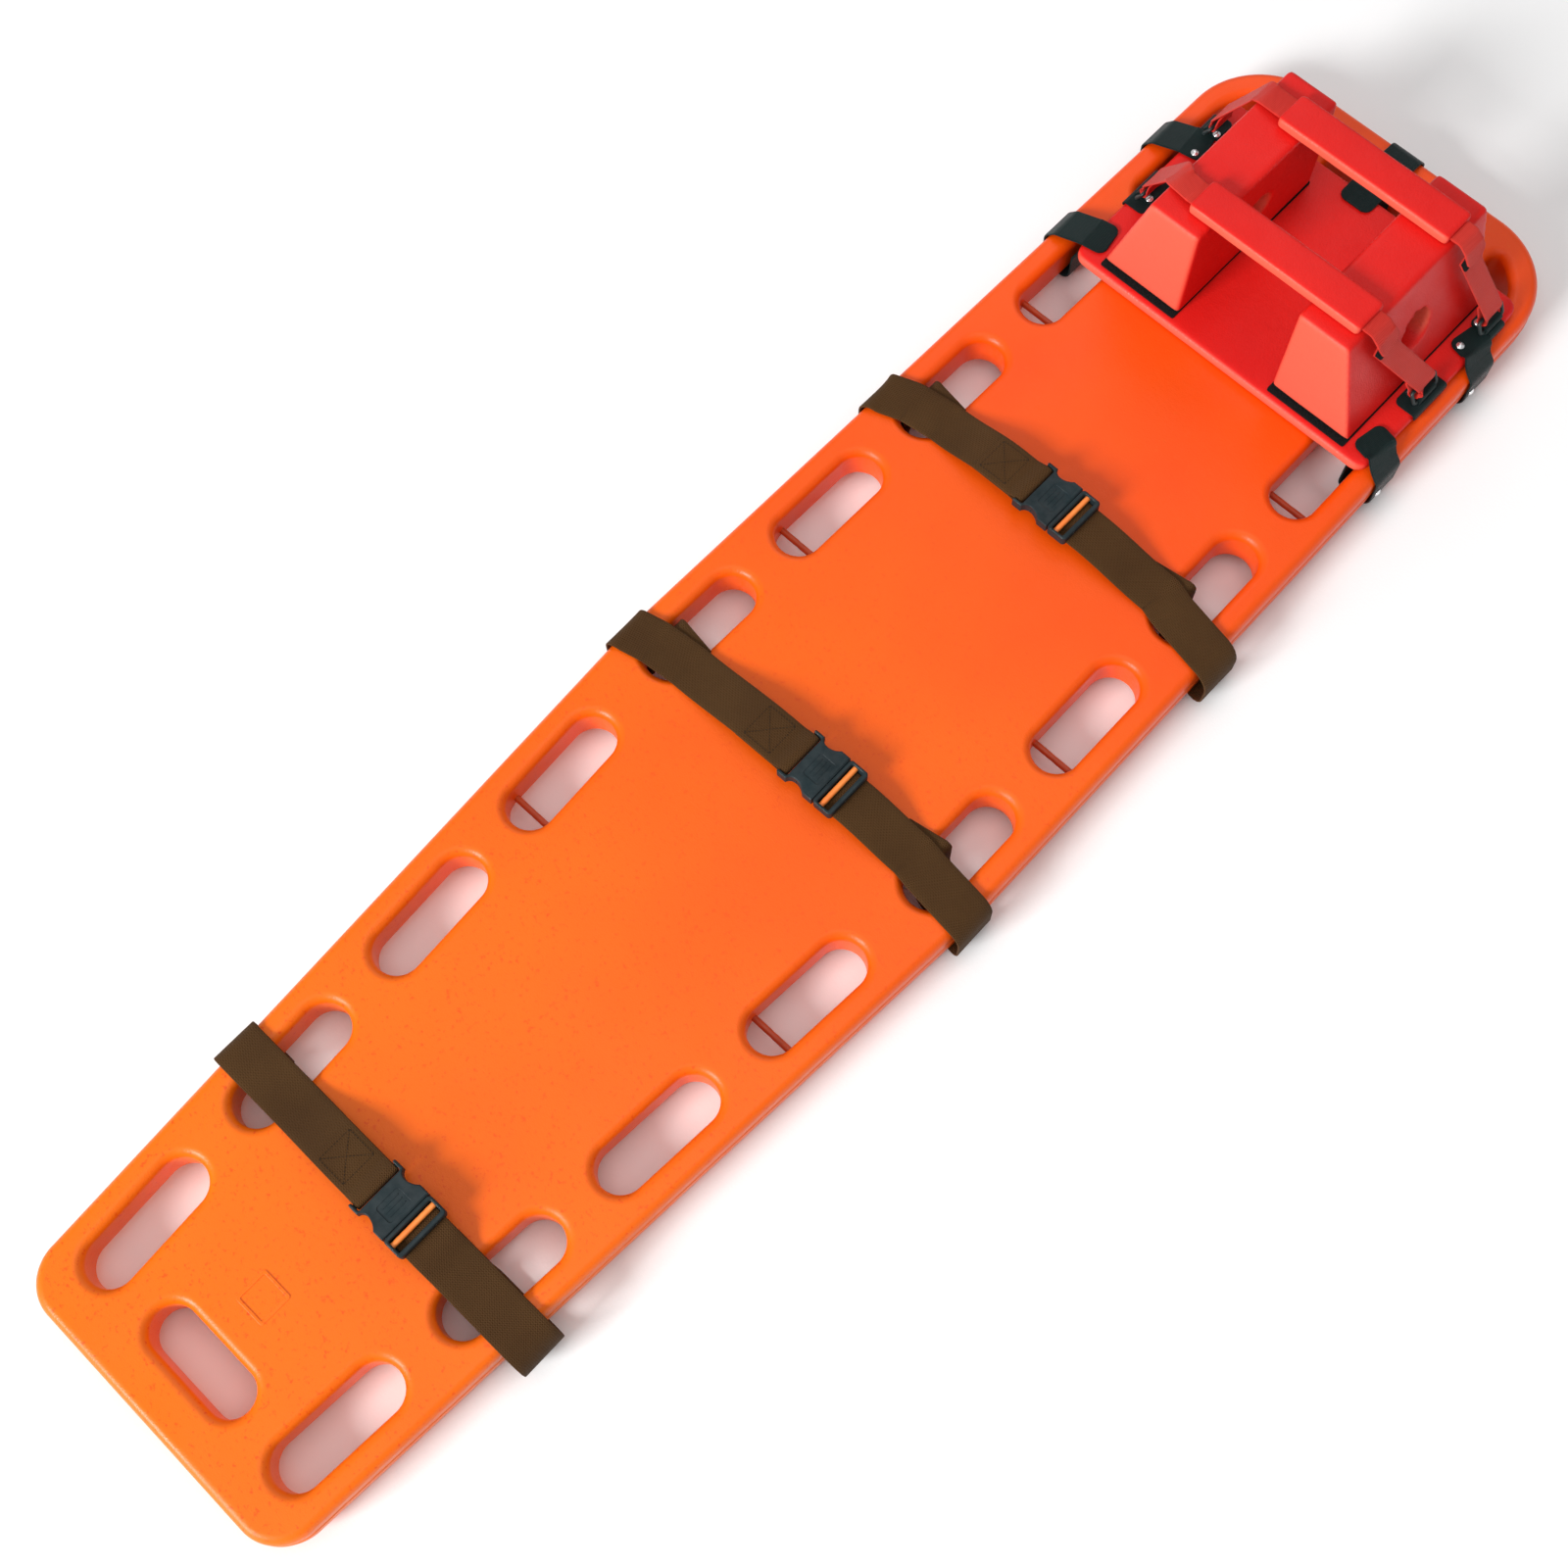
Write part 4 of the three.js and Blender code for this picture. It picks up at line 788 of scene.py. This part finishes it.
def arm_mesh(side):
    """A spring arm on one side, with its round root at the mouth."""
    half = ARM_WIDTH / 2
    root = MOUTH - half
    reach = CAVITY_WIDTH / 2 - ARM_TIP_ROOM
    back = reach - ARM_TIP_WIDTH
    tip = MOUTH - PRONG_LENGTH
    out, inn = ARM_OFFSET + half, ARM_OFFSET - half
    outer = bezier([(root, out), (root - 6, out), (tip + 14, reach), (tip + 3, reach)])
    nose = bezier([(tip + 3, reach), (tip + 1, reach), (tip, reach - 2), (tip, reach - 4)], 6)
    inner = bezier([(tip, back), (root - 14, back), (root - 8, inn), (root, inn)])
    round_root = arc(root, ARM_OFFSET, half, -90, 90, 10)
    points = outer[:-1] + nose + inner + round_root[1:-1]
    points = [Vector((p.x, side * p.y)) for p in points]
    return prism(points, -ARM_THICKNESS / 2, ARM_THICKNESS / 2, 0.7, rounds=3)


# ---------------------------------------------------------------- belts


def left_belt_line(options, edge, splay):
    """From the sewn end under the buckle's bar, over it, down to the rail and round it."""
    outside = edge + SLIP + splay + HALF_WEBBING_ROOM
    inside = edge - RAIL - LEG_SLACK - splay - HALF_WEBBING_ROOM
    bar_x, level = options["buckle"] + FEMALE_BAR_X, TOP + ARCH
    swing, leg, r = options["swing"], options["leg"] - options["top"], EYE_RADIUS
    crest = (bar_x - SEWN_START - STITCHED / 2, 0, level)
    low = (-(edge - RAIL - HANDHOLD_WIDTH), 0, TOP_LAYER_Z)
    corners = [(bar_x - SEWN_START - STITCHED, 0, level - 3.4, 0), (bar_x - SEWN_SETBACK, 0, level - 2.4, 8)]
    corners += [(bar_x - 3, 0, level - r, 6), (bar_x + r, 0, level - r, r), (bar_x + r, 0, level + r, r)]
    corners += [(bar_x - 3, 0, level + r, 6), (bar_x - SEWN_SETBACK, 0, level, 10)]
    corners += ease(crest, low)
    corners += rail_corners(outside, inside, swing, leg, RAIL_ROUND, -1)
    return route(corners)


def right_belt_line(options, edge, splay):
    """From under the lock bar, down to the rail and round it in a loose loop."""
    outside = edge + options["overhang"] + HALF_WEBBING_ROOM
    inside = edge - RAIL - RELEASE - LEG_SLACK - splay - HALF_WEBBING_ROOM
    level = TOP + ARCH + MALE_WEBBING_Z
    start_x = options["buckle"] + MOUTH + MALE_FRONT + 0.5
    swing, leg = options["swing"], options["leg"] - options["top"]
    crest = (options["buckle"] + MALE_END + 8, 0, level)
    low = (inside + EDGE_RADIUS - 30, 0, TOP_LAYER_Z)
    corners = [(start_x, 0, level, 0), *ease(crest, low)]
    corners += rail_corners(outside, inside, swing, leg, RAIL_ROUND + options["overhang"] / 2, 1)
    return route(corners)


def rail_corners(outside, inside, swing, leg, radius, side):
    """Corners of the way over a rail, down, under it and up through the handhold."""
    return [
        (side * inside, 0.3 * swing, TOP_LAYER_Z, TOP_ROUND),
        (side * outside, swing, TOP_LAYER_Z - 1, radius),
        (side * outside, swing, UNDER_Z, radius),
        (side * inside, leg, UNDER_Z, LEG_ROUND),
        (side * inside, leg, TAIL_Z, TAIL_ROUND),
        (side * (inside - TAIL_LENGTH), 0.3 * leg, TAIL_Z, 0),
    ]


def stitch(work, centre, direction, normal):
    """One stitch of thread lying on the webbing."""
    side = normal.cross(direction)
    turn = Matrix((direction, side, normal)).transposed().to_4x4()
    scale = Matrix.Diagonal((HALF_STITCH, THREAD / 2, THREAD / 2, 1))
    matrix = Matrix.Translation(centre) @ turn @ scale
    bmesh.ops.create_uvsphere(work, u_segments=8, v_segments=6, radius=1, matrix=matrix)


def stitched_box(options, y_half=19, pitch=3.4):
    """Box stitching, with a cross, through the doubled webbing beside the buckle."""
    bar_x, level = options["buckle"] + FEMALE_BAR_X, TOP + ARCH
    x0, x1 = bar_x - SEWN_START - STITCHED + 6, bar_x - 22
    crest_x = bar_x - SEWN_START - STITCHED / 2
    low_x = -(half_width(handhold_y(options["handhold"])) - RAIL - HANDHOLD_WIDTH)

    def on_top(x, y):
        t = min(max((x - crest_x) / (low_x - crest_x), 0), 1)
        rise = (1 - math.cos(math.pi * t)) / 2
        return Vector((x, y, level + (TOP_LAYER_Z - level) * rise + WEBBING / 2 + 0.1))

    rows = [((x0, -y_half), (x0, y_half)), ((x1, -y_half), (x1, y_half))]
    rows += [((x0, -y_half), (x1, -y_half)), ((x0, y_half), (x1, y_half))]
    rows += [((x0, -y_half), (x1, y_half)), ((x0, y_half), (x1, -y_half))]
    work = bmesh.new()
    for a, b in rows:
        start, end = on_top(*a), on_top(*b)
        count = int((end - start).length / pitch)
        for i in range(count):
            t = (i + 0.5) / count
            centre = on_top(a[0] + (b[0] - a[0]) * t, a[1] + (b[1] - a[1]) * t)
            direction = (end - start).normalized()
            normal = (Z_AXIS - direction * direction.z).normalized()
            stitch(work, centre, direction, normal)
    return finished(work, "stitches")


def make_belt(index, options):
    name = f"belt_{index + 1}"
    fixed, free = name, f"{name}_free_half"
    y = handhold_y(options["handhold"]) + options["top"] + (WEBBING_WIDTH - HANDHOLD_LENGTH) / 2
    edge = half_width(y)
    splay = abs(edge_slope(y)) * (WEBBING_WIDTH / 2 + BELT_TRAVEL)
    belt = Matrix.Translation((0, y, 0)) @ Matrix.Rotation(math.radians(options["turn"]), 4, "Z")
    buckle = belt @ Matrix.Translation((options["buckle"], 0, TOP + ARCH))
    left = ribbon(left_belt_line(options, edge, splay), WEBBING_WIDTH, WEBBING)
    right = ribbon(right_belt_line(options, edge, splay), WEBBING_WIDTH, WEBBING)
    place(f"{name}_strap_left", left, BROWN, fixed, [f"{name}_webbing_left"], belt, False)
    place(f"{name}_strap_right", right, BROWN, free, [f"{name}_webbing_right"], belt, False)
    place(f"{name}_stitches", stitched_box(options), THREAD_MATERIAL, fixed, (), belt, False)
    place(f"{name}_female", female_mesh(), BUCKLE, fixed, [f"{name}_buckle_female"], buckle)
    place(f"{name}_male", male_mesh(), BUCKLE, free, [f"{name}_buckle_male"], buckle)
    place(f"{name}_bar", lock_bar_mesh(), LOCK_BAR, free, [f"{name}_lock_bar"], buckle)
    for side, word in ((1, "head_side"), (-1, "foot_side")):
        nodes = [f"{name}_latch_arm_{word}"]
        body = f"{name}_arm_{word}"
        place(f"{body}_visual", arm_mesh(side), BUCKLE, body, nodes, buckle)


# ---------------------------------------------------------------- head immobilizer


def base_edge(side):
    return HEAD_X + side * BASE_WIDTH / 2


def block_inner(side):
    return HEAD_X + side * BLOCK_GAP / 2


def make_base_pad():
    outline = rounded_rectangle(BASE_WIDTH, BASE_LENGTH, BASE_RADIUS)
    outline = moved(outline, HEAD_X, BASE_FRONT + BASE_LENGTH / 2)
    mesh = softened(prism(outline, BASE_Z, BASE_TOP, 4.5), 3, 3)
    for vertex in mesh.vertices:
        if vertex.co.z > TOP + BASE_HEIGHT / 2:
            u = 2 * (vertex.co.x - HEAD_X) / BASE_WIDTH
            v = 2 * (vertex.co.y - BASE_FRONT) / BASE_LENGTH - 1
            vertex.co.z += 0.6 * (1 - u * u) * (1 - v * v)
    mesh = dimpled(mesh, 0.25, 30)
    obj = place("base_cushion", mesh, VINYL, "board", ["base_pad"], weighted=False)


def block_mesh(side):
    """A foam wedge with an upright inner face and a hole at the ear."""
    corners = ((0, 0), (BLOCK_FOOT, 0), (BLOCK_TOP_WIDTH, BLOCK_HEIGHT), (0, BLOCK_HEIGHT))
    section = [Vector(p) for p in corners]
    body = prism(section, -BLOCK_LENGTH / 2, BLOCK_LENGTH / 2, 1, rounds=1)
    body.transform(Matrix.Rotation(math.pi / 2, 4, "X"))
    start = Vector((-20, 0, EAR_HEIGHT))
    hole = lathe([(0, EAR_RADIUS), (2 * BLOCK_FOOT, EAR_RADIUS)], start, X_AXIS, 48)
    body = combined(body, [hole], "DIFFERENCE")
    mesh = softened(body, 3, 4)
    for vertex in mesh.vertices:
        v, w = 2 * vertex.co.y / BLOCK_LENGTH, 2 * vertex.co.z / BLOCK_HEIGHT - 1
        if abs(vertex.co.x) < 1:
            vertex.co.x -= 0.8 * (1 - v * v) * (1 - w * w)
    if side < 0:
        mesh.transform(Matrix.Rotation(math.pi, 4, "Z"))
    mesh.transform(Matrix.Translation((block_inner(side), BLOCK_FRONT + BLOCK_LENGTH / 2, BLOCK_Z)))
    return dimpled(mesh, 0.3, 40)


def make_blocks():
    for side, word in ((-1, "left"), (1, "right")):
        body, nodes = f"block_{word}", [f"head_block_{word}"]
        obj = place(f"{body}_foam", block_mesh(side), VINYL, body, nodes, weighted=False)
        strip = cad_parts[f"hook_strip_{word}"].data
        strip.materials.clear()
        strip.materials.append(HOOK)


def rivets(places, name, body):
    """places are (point, direction) pairs."""
    meshes = [lathe(RIVET, Vector(point), direction, 20) for point, direction in places]
    place(name, together(meshes), RIVET_MATERIAL, body, weighted=False)


def black_strap(name, mesh, nodes=()):
    return place(name, mesh, BLACK, "board", nodes, weighted=False)


def board_strap_line(grip, outside, inside):
    """From the base pad's top, out round the rail and up into the handhold.

    Each corner is (out, drift along the board, z, radius).
    """
    half = BOARD_STRAP / 2 + 0.1
    pad_z = BASE_TOP + 0.5 + half
    bottom = RUNNER_HEIGHT - SLIP - half
    crest = max(grip + 6, outside - 12)
    return [
        (grip - BOARD_STRAP_GRIP, BOARD_STRAP_SKEW, pad_z + 0.6, 0),
        (grip, BOARD_STRAP_SKEW / 2, pad_z + 0.4, 7),
        (crest, 0, TOP + 7, 12),
        (outside - half, 0, TOP - 6, 12),
        (outside - half, 0, bottom, 15),
        (inside, 0, bottom, 12),
        (inside, 0, TOP - EDGE_RADIUS, 0),
    ]


def side_strap(side, y, word):
    inside = half_width(y) - RAIL - LEG_SLACK - BOARD_STRAP
    grip, outside = abs(base_edge(side)), half_width(y) + BULGE
    line = board_strap_line(grip, outside, inside)
    corners = [(side * out, y + drift, z, r) for out, drift, z, r in line]
    mesh = ribbon(route(corners, 2.5), BOARD_STRAP_WIDTH, BOARD_STRAP, rounded=BOARD_STRAP_ENDS)
    black_strap(f"hold_down_{word}", mesh, [f"board_strap_{word}"])
    places = [((side * (outside + 0.2), y - 12, RUNNER_HEIGHT + SLAB * 0.45), X_AXIS * side)]
    if y > FRONT_STRAP_Y:
        inner = side * (grip - BOARD_STRAP_GRIP + 8)
        places.append(((inner, y + BOARD_STRAP_SKEW - 14, BASE_TOP + BOARD_STRAP + 0.9), Z_AXIS))
    rivets(places, f"hold_down_rivets_{word}", "board")


def head_end_strap():
    inside = LENGTH - END_RAIL - LEG_SLACK - BOARD_STRAP
    line = board_strap_line(BASE_FRONT + BASE_LENGTH, LENGTH + HEAD_END_BULGE, inside)
    corners = [(0, out, z, r) for out, _, z, r in line]
    mesh = ribbon(route(corners, 2.5), BOARD_STRAP_WIDTH, BOARD_STRAP, X_AXIS, BOARD_STRAP_ENDS)
    black_strap("hold_down_head_end", mesh, ["board_strap_head_end"])


def ring_x(side):
    return base_edge(side) - side * RING_SETBACK


def ring_high(side):
    """Where a ring's upper bar is, in x and z."""
    x = ring_x(side) - side * RING_PITCH * math.cos(RING_LEAN)
    return x, RING_LOW_Z + RING_PITCH * math.sin(RING_LEAN)


def ring_mesh(side, y):
    """A ring of round bar, leaning along its strap."""
    low = Vector((ring_x(side), y, RING_LOW_Z))
    high_x, high_z = ring_high(side)
    high = Vector((high_x, y, high_z))
    up = (high - low).normalized()
    middle = (low + high) / 2
    flat_ring = rounded_rectangle(RING_PITCH, RING_WIDTH + RING_WIRE, 3, 6)
    return tube([middle + up * p.x + Y_AXIS * p.y for p in flat_ring], RING_WIRE / 2)


def ring_tab_line(side, y):
    """From the base pad's top over its side."""
    z = BASE_TOP + 1.4
    outer = base_edge(side) + side * RING_TAB_EDGE
    inner = ring_x(side) - side * RING_TAB_GRIP
    corners = [(inner, y, z, 0), (outer, y, z, 4), (outer, y, z - RING_TAB_DROP, 0)]
    return route(corners, 1.5)


def ring_loop_line(side, y):
    """Round the ring's lower bar, with both ends sewn on the tab."""
    x, z = ring_x(side), RING_LOW_Z
    flat_z = BASE_TOP + 3.1
    r = RING_STRAP_RADIUS
    corners = [(x - side * 15, y, flat_z, 0), (x - side * 4, y, flat_z, 4)]
    corners += [(x + side * r, y, z - r + 0.8, r), (x + side * r, y, z + r, r)]
    corners += [(x - side * r, y, z + r, r)]
    corners += [(x - side * 7, y, flat_z + 2.6, 5), (x - side * 16, y, flat_z + 1.9, 0)]
    return route(corners, 1.5)


def make_rings():
    for strap, (_, reach) in HEAD_STRAPS.items():
        y = BLOCK_FRONT + reach
        for side, word in ((-1, "left"), (1, "right")):
            ring = f"{strap}_ring_{word}"
            place(f"{ring}_bar", ring_mesh(side, y), RING, "board", [ring])
            tab = ribbon(ring_tab_line(side, y), RING_TAB_WIDTHS[strap], 1.8, rounded=(7, 5))
            loop = ribbon(ring_loop_line(side, y), RING_LOOP_WIDTH, 1.6, rounded=(4, 4))
            name = f"{strap}_ring_tab_{word}"
            black_strap(f"{name}_flap", tab, [name])
            black_strap(f"{name}_loop", loop)
            inner = ring_x(side) - side * 11
            rivets([((inner, y - 9, BASE_TOP + 6), Z_AXIS)], f"{name}_rivet", "board")


# ---------------------------------------------------------------- chin and forehead straps


def pad_end(side):
    return PAD_X + side * PAD_LENGTH / 2


def pad_mesh(y):
    """A foam pad, slightly crowned, its long edges pinched where it is bonded to the strap."""
    outline = moved(rounded_rectangle(PAD_LENGTH, PAD_WIDTH, 5, 8), PAD_X, y)
    mesh = softened(prism(outline, PAD_Z, PAD_Z + PAD_HEIGHT, 3), 2, 3)
    for vertex in mesh.vertices:
        u, v = 2 * (vertex.co.x - PAD_X) / PAD_LENGTH, 2 * (vertex.co.y - y) / PAD_WIDTH
        if vertex.co.z > PAD_Z + PAD_HEIGHT / 2:
            vertex.co.z += 0.8 * (1 - u**4) * (1 - v * v)
    return dimpled(mesh, 0.25, 18)


def drift_to_ring(strap, side):
    """The y of a head strap at an x between its pad and its ring."""
    y, ring_y = (BLOCK_FRONT + reach for reach in HEAD_STRAPS[strap])
    start, end = pad_end(side) + side * TAB_REACH, ring_high(side)[0]
    return lambda x: y + min(max((x - start) / (end - start), 0), 1) * (ring_y - y)


def left_strap_line(strap):
    """From the pad, over the block's edge, down to the ring and round its upper bar."""
    y = drift_to_ring(strap, -1)
    high_x, high_z = ring_high(-1)
    corner_x = block_inner(-1) - BLOCK_TOP_WIDTH
    r = RING_STRAP_RADIUS
    corners = [
        (pad_end(-1) + 8, TAB_Z, 0),
        (pad_end(-1) - 6, TAB_Z, 10),
        (corner_x + 4, BLOCK_TOP_Z + 4.5, 14),
        (corner_x - 6, BLOCK_TOP_Z - 3, 16),
        (high_x - 3, high_z + 8, 6),
        (high_x - r - 0.4, high_z - r, r),
        (high_x + r, high_z - r, r),
        (high_x + r + 0.6, high_z + r + 2, r),
        (high_x + 7, high_z + 22, 6),
    ]
    return route([(x, y(x), z, radius) for x, z, radius in corners], 2.5)


def tab_line(strap):
    """The end tab on the right, from the pad down over the tail."""
    y = drift_to_ring(strap, 1)
    start = pad_end(1)
    bend_x = start + TAB_REACH / 2
    corners = [(start - 8, TAB_Z, 0), (bend_x, TAB_Z - 0.5, 8)]
    corners += [(bend_x + 9, TAB_Z - 8, 8), (bend_x + 16, TAB_Z - 24, 0)]
    return route([(x, y(x), z, radius) for x, z, radius in corners], 2)


def tail_line(strap):
    """From the ring on the right up to the patch under the tab."""
    y = drift_to_ring(strap, 1)
    high_x, high_z = ring_high(1)
    top_x, top_z = pad_end(1) + TAB_REACH / 2 + 6, TAB_Z - 22
    r = RING_STRAP_RADIUS
    corners = [
        (high_x - 9, high_z + 26, 0),
        (high_x - r - 0.8, high_z + r + 3, 6),
        (high_x - r, high_z - r, r),
        (high_x + r, high_z - r, r),
        (high_x + r, high_z + r + 1, 6),
        (top_x, top_z, 0),
    ]
    return route([(x, y(x), z, radius) for x, z, radius in corners], 2.5)


def hook_patch_line(strap):
    """On the tail's upper end, from under the tab to a little below it."""
    line = tail_line(strap)
    top, next_point = line[-1], line[-6]
    down = (next_point - top).normalized()
    outwards = Vector((-down.z, 0, down.x)).normalized()
    if outwards.x < 0:
        outwards.negate()
    start = top + outwards * 1.6
    return [start + down * along for along in range(0, 16, 3)]


def red_strap(name, mesh, body, node):
    place(name, mesh, RED_STRAP, body, [node], weighted=False)


def make_head_straps():
    for strap, (reach, _) in HEAD_STRAPS.items():
        body, nodes = f"{strap}_strap", [f"{strap}_pad"]
        cushion = pad_mesh(BLOCK_FRONT + reach)
        pad = place(f"{strap}_cushion", cushion, VINYL, body, nodes, weighted=False)
        left = ribbon(left_strap_line(strap), STRAP_WIDTH, STRAP)
        red_strap(f"{strap}_band_left", left, body, f"{strap}_strap_left")
        tab = ribbon(tab_line(strap), STRAP_WIDTH, STRAP, rounded=(0, 6))
        red_strap(f"{strap}_band_right", tab, body, f"{strap}_strap_right")
        tail = ribbon(tail_line(strap), STRAP_WIDTH - 2, STRAP)
        red_strap(f"{strap}_tail", tail, "board", f"{strap}_tail_right")
        patch = ribbon(hook_patch_line(strap), STRAP_WIDTH - 3, 0.9, rounded=(0, 4))
        place(f"{strap}_hook_patch", patch, HOOK, "board", weighted=False)


# ---------------------------------------------------------------- floor, light and camera


def make_floor(size=12, drop=0.0005):
    work = bmesh.new()
    bmesh.ops.create_grid(work, x_segments=8, y_segments=8, size=size)
    mesh = finished(work, "floor")
    mesh.materials.append(floor_material())
    floor = added(mesh, "floor")
    floor.location.z = -drop


def area_light(name, position, target, size, power):
    data = bpy.data.lights.new(name, "AREA")
    data.energy = power
    data.size = size
    light = added(data, name)
    light.location = position
    light.rotation_mode = "QUATERNION"
    light.rotation_quaternion = (Vector(target) - Vector(position)).to_track_quat("-Z", "Y")


def make_light():
    world = bpy.data.worlds.new("studio")
    world.use_nodes = True
    background = world.node_tree.nodes["Background"]
    background.inputs["Color"].default_value = (1, 1, 1, 1)
    background.inputs["Strength"].default_value = 0.42
    bpy.context.scene.world = world
    area_light("key", (-1.2, -10.4, 5.6), (0, 0.1, 0.05), 3.6, 1560)
    area_light("overhead", (0.3, -0.2, 3.4), (0, 0, 0), 2.8, 26)
    area_light("fill", (-1.6, 2.8, 2.9), (0, 0.4, 0.05), 2.4, 18)


def make_camera():
    """The position is in board millimetres; the directions are in the frame."""
    position = Vector((495.1, 355.0, 1924.5))
    forward = Vector((-0.24726, 0.23657, -0.93963))
    right = Vector((0.72623, 0.68722, -0.01809))
    up = right.cross(forward)
    data = bpy.data.cameras.new("camera")
    data.lens = 46.47
    data.sensor_width = 36
    data.clip_start = 0.05
    camera = added(data, "camera")
    axes = Matrix((right, up, -forward)).transposed().to_4x4()
    camera.matrix_world = Matrix.Translation(TO_FRAME @ position) @ axes
    bpy.context.scene.camera = camera


make_camera()
make_board()
for belt_index, belt_options in enumerate(BELTS):
    make_belt(belt_index, belt_options)
make_base_pad()
make_blocks()
for strap_side, side_word in ((-1, "left"), (1, "right")):
    side_strap(strap_side, FRONT_STRAP_Y, f"front_{side_word}")
    side_strap(strap_side, REAR_STRAP_Y, f"rear_{side_word}")
head_end_strap()
make_rings()
make_head_straps()
make_floor()
make_light()
bpy.context.scene.view_settings.view_transform = "Standard"
